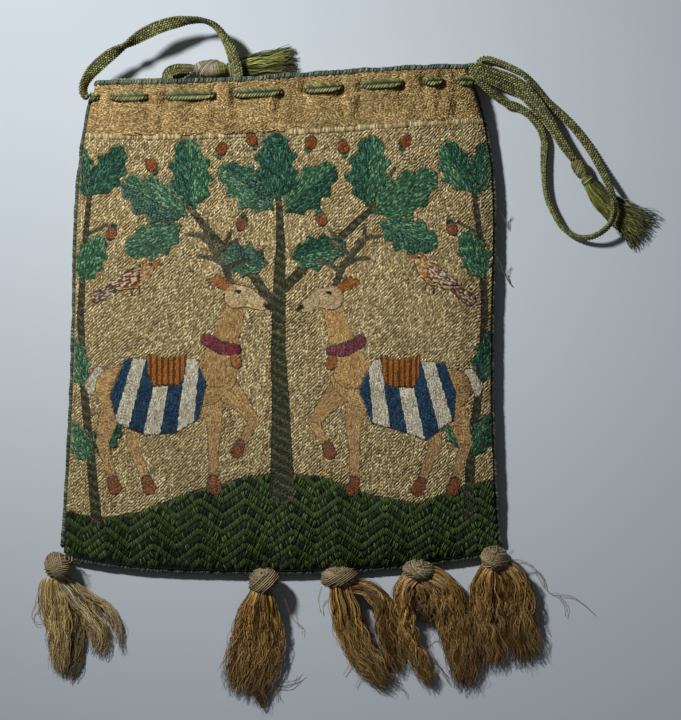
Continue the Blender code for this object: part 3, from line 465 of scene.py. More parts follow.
# The front: linen worked all over in silk split stitch
embroidery = {
    "cell": 0.2, "stitchWidth": 0.41, "stitchLength": 1.6, "rowSpacing": 0.35, "stepSpacing": 0.98,
    "thick": 0.34, "lift": 0.1, "seed": 7,
    "outlineWidth": 0.42, "outlineLength": 1.75, "outlineLift": 0.16, "rimStep": 1.3,
    "hillBand": 2.55, "hillPeriod": 15.5, "hillRise": 5.8, "stripe": 3.6,
}
gridLow = np.array([-82.0, -90.0])
gridShape = (820, 900)
gridSteps = [gridLow[k] + (np.arange(gridShape[k]) + 0.5) * embroidery["cell"] for k in (0, 1)]
gridX, gridY = np.meshgrid(*gridSteps, indexing="ij")
gridU, gridV = planInverse(gridX, gridY)
# cells that no stitch may enter: first those outside the front, then each shape once it is worked
taken = (np.abs(gridU) > 0.9985) | (gridV < 0.003) | (gridV > borderV - 0.001)
stitchRng = np.random.default_rng(embroidery["seed"])
stitchGroups = {}  # piece name to rows of x, y, direction, back half, front half, width, lift, r, g, b


def cellIndex(x, y):
    i = np.clip(((x - gridLow[0]) / embroidery["cell"]).astype(int), 0, gridShape[0] - 1)
    j = np.clip(((y - gridLow[1]) / embroidery["cell"]).astype(int), 0, gridShape[1] - 1)
    return i, j


def isTaken(x, y):
    return taken[cellIndex(x, y)]


def frontRelief(x, y):  # height of the worked front: the CAD surface and a soft quilted unevenness
    u, v = planInverse(x, y)
    u, v = np.clip(u, -1, 1), np.clip(v, 0, 1)
    fade = (1 - np.abs(u) ** 8) * (1 - (1 - v) ** 20)
    soft = noiseAt(x, y, 11.0, 3) + 0.5 * noiseAt(x, y, 4.5, 5) + 0.35 * noiseAt(x, y, 2.2, 7)
    return frontHeight(u, v) + bag["quilt"] * soft * fade


# Each shape gives a box and signed(x, y), which is below zero inside, with the part a place belongs to.
# Strokes and polygons give their rim too, as points with a direction.
def strokeShape(points):  # a line of discs whose radius changes evenly from point to point
    p = np.array(points, float)

    def signed(x, y):
        best, which = np.full(np.shape(x), 1e9), np.zeros(np.shape(x), int)
        for i in range(max(len(p) - 1, 1)):
            a, b = p[i], p[min(i + 1, len(p) - 1)]
            d = b[:2] - a[:2]
            t = np.clip(((x - a[0]) * d[0] + (y - a[1]) * d[1]) / (d @ d + 1e-9), 0, 1)
            far = np.hypot(x - a[0] - d[0] * t, y - a[1] - d[1] * t) - (a[2] + (b[2] - a[2]) * t)
            which = np.where(far < best, i, which)
            best = np.minimum(best, far)
        return best, which

    big = p[:, 2].max() + 1
    box = (p[:, 0].min() - big, p[:, 1].min() - big, p[:, 0].max() + big, p[:, 1].max() + big)
    rim = []
    for i in range(len(p) - 1):
        a, b = p[i], p[i + 1]
        d = b[:2] - a[:2]
        size = max(np.hypot(*d), 1e-6)
        d = d / size
        n = np.array([-d[1], d[0]])
        for t in np.arange(0, 1.0001, min(embroidery["rimStep"] / size, 1.0)):
            c, r = a[:2] + d * size * t, a[2] + (b[2] - a[2]) * t
            for s in (1, -1):
                rim.append((*(c + n * s * r), math.atan2(d[1], d[0])))
    for end, sign in ((0, -1), (-1, 1)):
        c, r = p[end][:2], p[end][2]
        other = p[1] if end == 0 else p[-2]
        base = math.atan2(*(c - other[:2])[::-1])
        for turn in base + np.linspace(-1.3, 1.3, max(int(2.6 * r / embroidery["rimStep"]), 1) + 1):
            rim.append((c[0] + r * math.cos(turn), c[1] + r * math.sin(turn), turn + math.pi / 2))
    return {"signed": signed, "box": box, "rim": rim, "points": p}


def leafShape(x0, y0, degrees, length, width, lobes=4, bend=0.0):
    # oak leaf: half width follows sin(pi t)^0.55, drawn in between lobes by a cosine of t
    angle = math.radians(degrees)
    d, n = np.array([math.cos(angle), math.sin(angle)]), np.array([-math.sin(angle), math.cos(angle)])

    def local(x, y):
        s, c = (x - x0) * d[0] + (y - y0) * d[1], (x - x0) * n[0] + (y - y0) * n[1]
        t = s / length
        return t, c - bend * length * np.clip(t - t * t, 0, 1)

    def halfWidth(t):
        t = np.clip(t, 0, 1)
        uneven = 0.06 * noiseAt(t * length, t * 0 + x0, 1.5, 7)
        lobe = 0.85 + 0.15 * np.cos(2 * math.pi * (lobes * t + 0.42)) + uneven
        stalk = 0.25 + 0.75 * smoothStep(0.0, 0.22, t)
        return width / 2 * np.sin(math.pi * np.clip(t * 0.94 + 0.06, 0, 1)) ** 0.55 * stalk * lobe * 1.12

    def signed(x, y):
        t, c = local(x, y)
        out = np.abs(c) - halfWidth(t)
        return np.where((t < 0) | (t > 1), 1.0, out), (c > 0).astype(int)

    tip = np.array([x0, y0]) + d * length
    pad = width
    box = (min(x0, tip[0]) - pad, min(y0, tip[1]) - pad, max(x0, tip[0]) + pad, max(y0, tip[1]) + pad)
    return {"signed": signed, "box": box}


def polygonShape(points):  # even-odd rule on straight edges
    p = np.array(points, float)

    def signed(x, y):
        inside = np.zeros(np.shape(x), bool)
        for a, b in zip(p, np.roll(p, -1, axis=0)):
            crosses = (a[1] > y) != (b[1] > y)
            edge = (b[0] - a[0]) * (y - a[1]) / (b[1] - a[1] + 1e-12) + a[0]
            inside ^= crosses & (x < edge)
        return np.where(inside, -1.0, 1.0), np.zeros(np.shape(x), int)

    rim = []
    for a, b in zip(p, np.roll(p, -1, axis=0)):
        d = b - a
        size = np.hypot(*d)
        for t in np.arange(0, 1, embroidery["rimStep"] / max(size, embroidery["rimStep"])):
            rim.append((*(a + d * t), math.atan2(d[1], d[0])))
    box = (p[:, 0].min(), p[:, 1].min(), p[:, 0].max(), p[:, 1].max())
    return {"signed": signed, "box": box, "rim": rim}


def layStitches(group, shape, degrees, palette, part=None, length=embroidery["stitchLength"], wobble=6.0,
                swirl=0.0, paint=None, lift=0.0):
    # brick rows of stitches along one direction, each cut short where it would leave its shape
    signed, box = shape["signed"], shape["box"]
    rows, steps = embroidery["rowSpacing"], embroidery["stepSpacing"]
    a = math.radians(degrees)
    d, n = np.array([math.cos(a), math.sin(a)]), np.array([-math.sin(a), math.cos(a)])
    corners = np.array([(x, y) for x in (box[0], box[2]) for y in (box[1], box[3])])
    s0, s1 = (corners @ d).min(), (corners @ d).max()
    t0, t1 = (corners @ n).min(), (corners @ n).max()
    t, s = np.meshgrid(np.arange(t0, t1, rows), np.arange(s0, s1, steps), indexing="ij")
    shift = stitchRng.uniform(0, steps, (t.shape[0], 1))
    s = s + shift + stitchRng.normal(0, steps * 0.12, t.shape)
    t = t + stitchRng.normal(0, rows * 0.12, t.shape)
    x, y = (s * d[0] + t * n[0]).ravel(), (s * d[1] + t * n[1]).ravel()
    far, which = signed(x, y)
    ok = (far < 0) & ~isTaken(x, y)
    if part is not None:
        ok &= which == part
    x, y = x[ok], y[ok]
    if not len(x):
        return
    direction = a + np.radians(stitchRng.normal(0, wobble, len(x)) + swirl * noiseAt(x, y, 13.0, 11))
    halves = []
    for sign in (-1, 1):
        half = np.zeros(len(x))
        for share in (0.15, 0.45, 0.72, 1.0):
            reach = length / 2 * share
            px, py = x + sign * reach * np.cos(direction), y + sign * reach * np.sin(direction)
            free = (signed(px, py)[0] < 0.12) & ~isTaken(px, py)
            half = np.where(free & (half >= reach * 0.3 * (share > 0.15)), reach, half)
        halves.append(np.maximum(half, length * 0.12))
    colour = paint(x, y) if paint else mixed(stitchRng, palette, len(x))
    colour = colour * stitchRng.uniform(0.86, 1.14, (len(x), 1))
    wide = embroidery["stitchWidth"] * stitchRng.uniform(0.88, 1.12, len(x))
    up = lift + stitchRng.uniform(0, embroidery["lift"], len(x))
    rowsOut = np.column_stack([x, y, direction, halves[0], halves[1], wide, up, colour])
    stitchGroups.setdefault(group, []).append(rowsOut)


def markTaken(shape, margin=0.0):
    box = shape["box"]
    i0, j0 = cellIndex(np.array(box[0] - 1), np.array(box[1] - 1))
    i1, j1 = cellIndex(np.array(box[2] + 1), np.array(box[3] + 1))
    i, j = np.meshgrid(np.arange(i0, i1 + 1), np.arange(j0, j1 + 1), indexing="ij")
    x = gridLow[0] + (i + 0.5) * embroidery["cell"]
    y = gridLow[1] + (j + 0.5) * embroidery["cell"]
    taken[i, j] |= shape["signed"](x, y)[0] < margin


def layOutline(shapes, palette):
    # back stitches round the joined outline of several shapes
    rim = np.array([r for shape in shapes for r in shape["rim"]])
    x, y, direction = rim.T
    outside = np.min([shape["signed"](x, y)[0] for shape in shapes], axis=0) > -0.25
    ok = outside & ~isTaken(x, y)
    x, y, direction = x[ok], y[ok], direction[ok] + np.radians(stitchRng.normal(0, 4, ok.sum()))
    shades = mixed(stitchRng, palette, len(x))
    half = embroidery["outlineLength"] / 2 * stitchRng.uniform(0.85, 1.1, len(x))
    wide, up = np.full(len(x), embroidery["outlineWidth"]), np.full(len(x), embroidery["outlineLift"])
    rows = np.column_stack([x, y, direction, half, half, wide, up, shades])
    stitchGroups.setdefault("outlineStitches", []).append(rows)


def layStroke(group, points, palette, lean=0, **extra):
    shape = strokeShape(points)
    p = shape["points"]
    for i in range(len(p) - 1):
        degrees = math.degrees(math.atan2(p[i + 1, 1] - p[i, 1], p[i + 1, 0] - p[i, 0])) + lean
        layStitches(group, shape, degrees, palette, part=i, **extra)
    return shape


def finishShapes(shapes, outline=None):
    if outline:
        layOutline(shapes, outline)
    for shape in shapes:
        markTaken(shape, 0.1 if outline else 0.0)


# Threads used, as sRGB hex
silks = {
    # In the ground silks the palest, ebdeb6, is a painted highlight: a glint on some stitches.
    "ground": ("c8b484", "d6c596", "b6a26e", "c0aa78", "927c54", "ebdeb6", "ac9864"),
    "fold": ("c8a76a", "bf9a5e", "d2b67c", "b08a5c", "a67e50", "c4a264"),
    "paleFold": ("cdb78a", "c3ab7b", "d8c59c", "b89e6c"),
    "leaf": ("2f6144", "4f8359", "1b4632", "86ac7c", "3a6e4b"),
    "darkLeaf": ("184538", "2f664c", "0d2c23", "558a68", "20503f"),
    "hill": ("465e28", "56702f", "26351a", "6a8440", "34491c", "18220f"),
    "trunk": ("33402a", "2a3322", "414a30", "3a3526"), "trunkLight": ("5a5c38", "6b6544", "4c5434", "736a48"),
    "branch": ("4a4b34", "5a5840", "3a3a29", "6a6448"),
    "rust": ("864617", "96541e", "6f3a12", "a26024"),
    "crimson": ("762c38", "863642", "66242f", "924650"),
    "blue": ("1c3a55", "254a66", "142d44", "2f5870"),
    "cream": ("c9c2a8", "d8d2bc", "b8b096", "e2dcc8"),
    "ochre": ("a0621e", "b07026", "8c521a", "bc8038"),
    "outline": ("3f3424", "4a3c28", "352b1e"),
    "hoof": ("2c2318", "382c1e"), "line": ("7d5c34", "6d4e2a", "8a6a40"),
}


# The picture, topmost shapes first: two harts under an oak, small birds, a hill worked in chevrons
def spot(points, degrees, length):  # an eye or a nose
    shape = strokeShape(points)
    layStitches("figureStitches", shape, degrees, silks["hoof"], length=length, lift=0.2)
    return shape


hartForm = {  # strokes of (x, y, radius) from the hart's own middle, facing right
    "eye": [(17.6, 27.6, 0.42), (18.3, 27.6, 0.42)], "nose": [(25.6, 23.9, 0.7), (26.4, 23.2, 0.5)],
    "collar": [(9.6, 14.6, 1.5), (13.6, 12.4, 1.6), (17.4, 12.0, 1.4)],
    "bell": [(17.2, 9.8, 1.2), (17.6, 8.4, 1.4)],
    "saddle": [(-6.4, 10.8), (-1, 9.8), (4.2, 10.8), (3.6, 5.5), (2.4, 2.6), (-4.8, 2.2), (-6.2, 5.5)],
    "hooves": [[(18.4, -13.6, 1.3), (17.8, -15.4, 1.6)], [(11.2, -23.2, 1.4), (11.8, -25.2, 1.8)],
               [(-15.8, -23.4, 1.4), (-15.2, -25.2, 1.8)], [(-6.6, -23.4, 1.4), (-5.9, -25.2, 1.8)]],
    "ear": [(15.8, 28.6, 0.9), (12.4, 30.4, 1.5), (10.4, 30.6, 0.5)],
    "face": [(17.4, 26.4, 3.2), (20.4, 26.2, 2.6), (24.6, 24.0, 1.5)],
    "neck": [(12.0, 6.5, 4.8), (14.2, 13.5, 3.6), (16.2, 20.0, 2.8), (17.6, 24.6, 2.7)],
    "body": [(-15.0, 1.8, 5.4), (-8.0, 2.2, 6.0), (2.0, 1.9, 6.0), (9.0, 3.2, 6.2), (12.6, 5.0, 5.0)],
    "legs": [[(15.0, 1.5, 3.4), (19.5, -3.2, 2.1), (22.2, -7.0, 1.5), (20.4, -10.5, 1.2), (18.6, -13.4, 1.1)],
             [(10.6, -1.5, 3.4), (11.6, -8.0, 2.0), (11.4, -14.0, 1.4), (11.2, -23.0, 1.2)],
             [(-14.2, -1, 4.4), (-17.2, -7.5, 2.6), (-18.6, -13, 1.7), (-17.2, -18, 1.3), (-15.8, -23.4, 1.2)],
             [(-8.5, -1, 4.0), (-9.6, -7.5, 2.4), (-10.6, -13, 1.6), (-8.6, -18, 1.3), (-6.6, -23.4, 1.2)]],
    "tail": [(-19.6, 6.0, 1.5), (-21.8, 2.4, 1.7), (-21.8, 0.6, 0.9)],
    "tines": ((15.2, 33.6, 6.2, 2.6), (12, 37.4, 6, 4.2), (10.4, 41, -6.4, 2), (13.6, 35.4, -6.6, 1.6)),
    "grow": 1.24,
}


def hart(centre, mirror, cloth, head):  # mirror is 1 facing right, -1 facing left
    grow = hartForm["grow"]

    def at(points):
        return [(centre[0] + mirror * x * grow, centre[1] + y * grow, *(r * grow for r in rest))
                for x, y, *rest in points]

    def stroke(points, palette, **extra):
        return layStroke("figureStitches", at(points), palette, **extra)

    def pleats(x, y):
        dark = np.abs(((x - centre[0]) * mirror / grow / 1.55) % 1 - 0.5) < 0.2
        return np.where(dark[:, None], linear(silks["ochre"][2]) * 0.55, linear(silks["ochre"][1]))

    def stripes(x, y):  # they fan out towards the hem
        across = (x - centre[0]) * mirror / grow - 0.16 * (y - centre[1]) / grow
        fan = 1 + 0.012 * (9 - (y - centre[1]) / grow)
        which = np.floor(across / fan / embroidery["stripe"] + 0.3).astype(int) % 2
        blue, pale = (mixed(stitchRng, silks[key], len(x)) for key in ("blue", "cream"))
        return np.where(which[:, None] == 0, blue, pale)

    spots = [spot(at(hartForm["eye"]), 0, 1.2), spot(at(hartForm["nose"]), 90, 1.2)]
    collar = stroke(hartForm["collar"], silks["crimson"], lift=0.15)
    bell = stroke(hartForm["bell"], silks["ochre"], lift=0.15)
    finishShapes(spots)
    finishShapes([collar], silks["outline"])
    finishShapes([bell], silks["outline"])
    saddle, blanket = polygonShape(at(hartForm["saddle"])), polygonShape(at(cloth))
    layStitches("figureStitches", saddle, 90, None, paint=pleats, lift=0.15, wobble=3)
    finishShapes([saddle], silks["outline"])
    layStitches("figureStitches", blanket, 90 - mirror * 9, None, paint=stripes, lift=0.1, wobble=4)
    finishShapes([blanket], silks["outline"])

    # hooves, head, neck, body and legs, each filled along its own length
    finishShapes([stroke(hoof, silks["rust"]) for hoof in hartForm["hooves"]], silks["outline"])
    headShapes = [stroke(hartForm["ear"], silks["ochre"]), stroke(hartForm["face"], silks["paleFold"])]
    finishShapes(headShapes, silks["line"])
    neck = stroke(hartForm["neck"], silks["fold"], wobble=7)
    finishShapes([neck])
    body = stroke(hartForm["body"], silks["fold"], wobble=9, swirl=16)
    finishShapes([body])
    layOutline([neck, body], silks["line"])
    for leg in hartForm["legs"]:
        shape = stroke(leg, silks["fold"], wobble=6)
        layOutline([shape], silks["line"])
        finishShapes([shape])
    finishShapes([stroke(hartForm["tail"], silks["cream"])], silks["line"])
    markTaken(neck, 0.1)

    # antlers, one strand wide at their tips
    tines = [[(x, y, 0.75), (x + dx / 2, y + dy / 2 + 0.6, 0.6), (x + dx, y + dy, 0.35)]
             for x, y, dx, dy in hartForm["tines"]]
    finishShapes([stroke(tine, silks["branch"], wobble=3) for tine in [head, *tines]])


birdForm = {
    "eye": [(7.4, 3.7, 0.35), (7.9, 3.7, 0.35)], "beak": [(9.0, 3.3, 0.7), (11.4, 2.7, 0.3)],
    "wing": [(3.6, 2.6), (0.5, 3.0), (-8.5, 1.0), (-5.5, -0.6), (-1.0, -2.0), (2.6, -1.0)],
    "body": [(-4.2, -0.4, 1.9), (1.0, 0.2, 3.2), (4.4, 1.2, 2.7), (7.0, 3.1, 1.9)],
    "bodySilk": ("c9b48a", "b9863f", "d8c8a0", "a8641e"),
    "tail": [(-5.5, -0.8, 1.2), (-12.5, -2.6, 1.9)], "tailSilk": ("8e4a1c", "c9c2a8", "3a3526"),
}


def bird(centre, mirror, grow, degrees):
    cosine, sine = math.cos(math.radians(degrees)), math.sin(math.radians(degrees))

    def at(points):
        out = []
        for px, py, *rest in points:
            x, y = mirror * px * grow, py * grow
            out.append((centre[0] + x * cosine - y * sine, centre[1] + x * sine + y * cosine,
                        *(r * grow for r in rest)))
        return out

    def bars(x, y):
        return np.where((((x * cosine + y * sine) / grow / 1.3 % 1) < 0.5)[:, None],
                        linear(silks["rust"][0]), linear(silks["cream"][1]))

    finishShapes([spot(at(birdForm["eye"]), 0, 1.0)])
    finishShapes([layStroke("figureStitches", at(birdForm["beak"]), silks["ochre"])])
    wing = polygonShape(at(birdForm["wing"]))
    layStitches("figureStitches", wing, degrees + mirror * 10, None, paint=bars, lift=0.12)
    finishShapes([wing], silks["hoof"])
    for part in ("body", "tail"):
        finishShapes([layStroke("figureStitches", at(birdForm[part]), birdForm[part + "Silk"])], silks["hoof"])
    for foot in (-0.5, 2.2):
        leg = at([(foot, -3.0, 0.2), (foot - 0.4, -5.2, 0.2)])
        finishShapes([layStroke("outlineStitches", leg, silks["hoof"])])


def oakLeaf(x, y, degrees, length, width, bend):
    # stitches along the leaf, leaning off its middle a little, the halves in two mixes of green
    leaf = leafShape(x, y, degrees, length, width, bend=bend)
    light, dark = silks["leaf"] + silks["darkLeaf"][1:2], silks["darkLeaf"] + silks["leaf"][:1]
    shades = (light, light, dark) if stitchRng.random() < 0.55 else (dark, dark, light)
    turn = 1 if stitchRng.random() < 0.5 else -1
    for half, sign in ((1, 1), (0, -1)):
        palette = shades[half * turn]
        layStitches("leafStitches", leaf, degrees + sign * 9, palette, part=half, wobble=8, lift=0.14)
    markTaken(leaf, 0.15)


def acorn(x, y, degrees):
    middle = np.array([x, y])
    d = np.array([math.cos(math.radians(degrees)), math.sin(math.radians(degrees))])
    nut = [(x, y, 1.75), (*(middle + d * 1.1), 1.5)]
    cup = [(*(middle - d * 1.5), 1.5), (*(middle - d * 2.2), 1.1)]
    finishShapes([layStroke("leafStitches", nut, silks["rust"], lift=0.2, wobble=4)], silks["outline"])
    finishShapes([layStroke("leafStitches", cup, silks["darkLeaf"], lift=0.2)])


hart((-36.5, -23.5), 1,
     [(-12.5, 9.5), (6.5, 9.8), (9.5, 3), (7.5, -6.5), (1, -10.5), (-7, -11), (-14.5, -8), (-16.5, 0)],
     [(16.2, 29.6, 0.9), (14.6, 34.0, 0.9), (11.6, 38.4, 0.85), (9.2, 43.0, 0.7), (9.8, 47.0, 0.4)])
hart((38.5, -24.0), -1,
     [(-13, 9), (6, 9.8), (10, 2), (6.5, -7.5), (0, -9), (-8, -12), (-15.5, -6.5), (-16, 1)],
     [(16.2, 29.6, 0.9), (14.8, 34.0, 0.9), (12.0, 38.0, 0.85), (8.6, 41.6, 0.7), (8.4, 45.6, 0.4)])
bird((-50.0, 14.5), 1, 1.0, 14)
bird((52.0, 15.5), -1, 1.05, -22)

for x, y, degrees in (
    (-43.0, 52.5, 120), (-19.8, 58.0, 70), (-9.5, 61.0, 110), (10.0, 60.0, 70), (21.0, 58.5, 100),
    (41.5, 60.5, 60), (-13.0, 33.5, 250), (13.5, 35.0, 290), (-56.5, 30.5, 250), (57.0, 32.0, 290),
):
    acorn(x, y, degrees)

leaves = (  # foot, direction, length, width, bend
    (-31, 36, 152, 25, 14, 0.10), (-29, 38, 97, 24, 14, -0.08), (-33, 33, 205, 21, 12, 0.08),
    (31, 37, 33, 25, 14, -0.10), (29, 39, 86, 24, 14, 0.08), (33, 34, -22, 21, 12, -0.08),
    (-1, 41, 92, 23, 14, 0.05), (-2.5, 38, 141, 23, 13, -0.10), (1.5, 37, 43, 23, 13, 0.10),
    (-4, 20, 168, 19, 11, 0.10), (3.5, 22, 14, 19, 11, -0.10),
    (-63, 43, 58, 19, 11, -0.1), (-64.5, 42, 101, 18, 9, 0.05),
    (63.5, 44, 118, 19, 11, 0.1), (65.5, 43, 80, 18, 9, -0.05),
    (-66.5, 14, 66, 17, 10, 0.1), (-65.5, -21, 108, 18, 9, 0.06),
    (-61, -44, 62, 15, 9, 0.1), (-64.0, -46, 118, 15, 8, 0.0),
    (67.5, 15, 112, 17, 10, -0.1), (66.5, -20, 76, 18, 9, -0.06),
    (62, -42, 116, 15, 9, -0.1), (64.5, -44, 66, 15, 8, 0.0),
)
for leaf in leaves:
    oakLeaf(*leaf)

branches = (
    [(0.5, -56, 4.0), (0.0, -30, 2.9), (-0.8, -8, 2.3), (-0.6, 10, 2.0), (0.0, 26, 1.4), (-0.6, 41, 0.8)],
    [(-1.0, 4, 1.5), (-9, 16, 1.4), (-19, 25, 1.2), (-29, 37, 0.9)],
    [(-0.6, 10, 1.5), (9, 20, 1.4), (19, 28, 1.2), (30, 38, 0.9)],
    [(-29, 37, 0.7), (-40, 47, 0.5)], [(-19, 25, 0.7), (-16.5, 31, 0.5)],
    [(19, 28, 0.7), (16, 32, 0.5)], [(30, 38, 0.7), (38, 52, 0.5)],
    [(-61.5, -66, 1.7), (-63.5, -44, 1.3), (-66, -20, 1.1), (-67, 2, 1.0), (-66, 20, 0.9), (-64, 43, 0.7)],
    [(62.5, -64, 1.7), (63.5, -42, 1.3), (66.5, -20, 1.1), (68, 2, 1.0), (67.5, 22, 0.9), (64.5, 44, 0.7)],
    [(-64.5, 30, 0.6), (-58, 33, 0.5)], [(66.5, 30, 0.6), (59, 34, 0.5)],
)


def bands(x, y):  # rope-like: slanted bands of dark and light
    dark, light = (mixed(stitchRng, silks[key], len(x)) for key in ("trunk", "trunkLight"))
    return np.where((((y + 0.55 * x) / 3.1 % 1) < 0.62)[:, None], dark, light)


for branch in branches:
    thick = branch[0][2] > 1.2
    extra = {"lean": -24, "paint": bands} if thick else {}
    shape = layStroke("leafStitches", branch, silks["branch"], wobble=4, **extra)
    finishShapes([shape], silks["outline"] if thick else None)

# hill: rows of upright stitches whose feet follow a zigzag
hillTop = np.array([
    (-80, -61), (-60, -65), (-48, -63), (-30, -56), (-12, -51), (0, -49.5),
    (14, -51), (30, -57), (46, -60), (58, -55), (80, -50),
])


def hillEdge(x):
    return np.interp(x, hillTop[:, 0], hillTop[:, 1])


def hillSigned(x, y):
    return np.where(y < hillEdge(x), -1.0, 1.0), np.zeros(np.shape(x), int)


def hillPhase(x):
    return (x / embroidery["hillPeriod"] + 0.25) % 1


rowIndex, x = np.meshgrid(np.arange(-6, 40), np.arange(-76, 76, 0.37), indexing="ij")
zigzag = embroidery["hillRise"] * (1 - 2 * np.abs(hillPhase(x) - 0.5))
zigzag = zigzag + 0.5 * noiseAt(x, rowIndex * 3.0, 9, 17)
y = (-90 + rowIndex * embroidery["hillBand"] + zigzag).ravel()
x = (x + stitchRng.normal(0, 0.05, x.shape)).ravel()
u, v = planInverse(x, y)
ok = (y < hillEdge(x) + 0.6 * noiseAt(x, x, 5, 19)) & ~isTaken(x, y) & (np.abs(u) < 0.994) & (v > 0.001)
x, y, rowIndex = x[ok], y[ok], rowIndex.ravel()[ok]
down = np.full(len(x), embroidery["hillBand"] / 2 * 1.12)
half = np.minimum(down, np.maximum(hillEdge(x) + 0.8 - y, 0.4))
pick = np.where(rowIndex % 2 == 0, stitchRng.integers(0, 2, len(x)), stitchRng.integers(2, 6, len(x)))
colour = shadesOf(silks["hill"])[pick] * stitchRng.uniform(0.72, 1.25, (len(x), 1))
direction = np.radians(90 + stitchRng.normal(0, 4, len(x)) - 20 * np.sign(hillPhase(x) - 0.5))
wide = 0.36 * stitchRng.uniform(0.8, 1.15, len(x))
rows = np.column_stack([x, y, direction, down, half, wide, stitchRng.uniform(0.0, 0.3, len(x)), colour])
stitchGroups["hillStitches"] = [rows]
markTaken({"signed": hillSigned, "box": (-80, -88, 80, -47)})


# Ground: rows of split stitch that run upright but bend to follow the nearest motif
def motifFlow():
    soft = taken.astype(float)
    for _ in range(3):
        for axis in (0, 1):
            padded = np.pad(soft, [(9, 8) if a == axis else (0, 0) for a in (0, 1)], mode="edge")
            total, cells = np.cumsum(padded, axis=axis), np.arange(gridShape[axis])
            soft = (np.take(total, cells + 17, axis=axis) - np.take(total, cells, axis=axis)) / 17
    gx, gy = np.gradient(soft)
    return np.arctan2(gx, -gy), np.clip(np.hypot(gx, gy) / 0.03, 0, 1)


flowAngle, flowShare = motifFlow()
ground = {
    "degrees": 70, "wobble": 13, "swirl": 16, "width": 0.47, "length": 1.38,
    "column": 0.45, "row": 1.1, "climb": 0.44,  # each column starts a little higher than the last
}


def layGround(group, low, high):  # slanting stitches whose pits run in diagonals
    row, length, base = ground["row"], ground["length"], math.radians(ground["degrees"])
    x, y = np.meshgrid(np.arange(-76, 76, ground["column"]), np.arange(low, high - 0.01, row), indexing="ij")
    columns = x.shape[0]
    y = y + ((np.arange(columns) * ground["climb"] + stitchRng.normal(0, 0.14, columns)) % row)[:, None]
    x, y = (x + stitchRng.normal(0, 0.05, x.shape)).ravel(), (y + stitchRng.normal(0, 0.11, y.shape)).ravel()
    ok = ~isTaken(x, y) & onFront(x, y)
    x, y = x[ok], y[ok]
    i, j = cellIndex(x, y)
    delta = (flowAngle[i, j] - base + math.pi / 2) % math.pi - math.pi / 2
    sway = ground["swirl"] * noiseAt(x, y, 14, 23) + stitchRng.normal(0, ground["wobble"], len(x))
    direction = base + delta * flowShare[i, j] * 0.25 + np.radians(sway)
    halves = []
    for sign in (-1, 1):
        half = np.full(len(x), length * 0.12)
        for share in (0.45, 0.72, 1.0):
            reach = length / 2 * share
            px, py = x + sign * reach * np.cos(direction), y + sign * reach * np.sin(direction)
            half = np.where(~isTaken(px, py) & onFront(px, py) & (half >= reach * 0.3), reach, half)
        halves.append(half)
    patch = noiseAt(x, y, 17, 29) * 0.06 + noiseAt(x, y, 6, 31) * 0.05 + noiseAt(x, y, 2, 33) * 0.07
    colour = mixed(stitchRng, silks["ground"], len(x))
    colour = colour * (1.05 + patch + stitchRng.normal(0, 0.15, len(x)))[:, None]
    up = stitchRng.uniform(0, 0.22, len(x))
    wide = ground["width"] * stitchRng.uniform(0.88, 1.12, len(x))
    rows = np.column_stack([x, y, direction, *halves, wide, up, np.clip(colour, 0, 1)])
    stitchGroups.setdefault(group, []).append(rows)


def onFront(x, y):
    u, v = planInverse(x, y)
    return (np.abs(u) < 0.998) & (v > 0.002) & (v < borderV - 0.001)


# one row of pale upright stitches hides the join with the header
x, y = plan(np.linspace(-0.996, 0.996, 320), np.full(320, borderV - 1.4 / clothHeight))
ok = ~isTaken(x, y - 1.0)
x, y = x[ok], y[ok] + stitchRng.normal(0, 0.08, ok.sum())
shades = mixed(stitchRng, silks["ground"], len(x)) * stitchRng.uniform(0.85, 1.1, (len(x), 1))
direction = np.radians(90 + stitchRng.normal(0, 5, len(x)))
halves = np.full((len(x), 2), (1.1, 1.6)) * stitchRng.uniform(0.7, 1.1, (len(x), 1))
wide, up = np.full(len(x), 0.46), stitchRng.uniform(0.08, 0.25, len(x))
rows = np.column_stack([x, y, direction, halves, wide, up, np.clip(shades, 0, 1)])
stitchGroups["groundStitchesD"] = [rows]
taken |= (gridV > borderV - 2.0 / clothHeight) & (gridV < borderV)
for letter, low, high in (("A", -65.3, -21.3), ("B", -21.3, 11.7), ("C", 11.7, 39.2), ("D", 39.2, 72.2)):
    layGround("groundStitches" + letter, low, high)
print("stitches", {k: int(sum(len(r) for r in v)) for k, v in stitchGroups.items()})


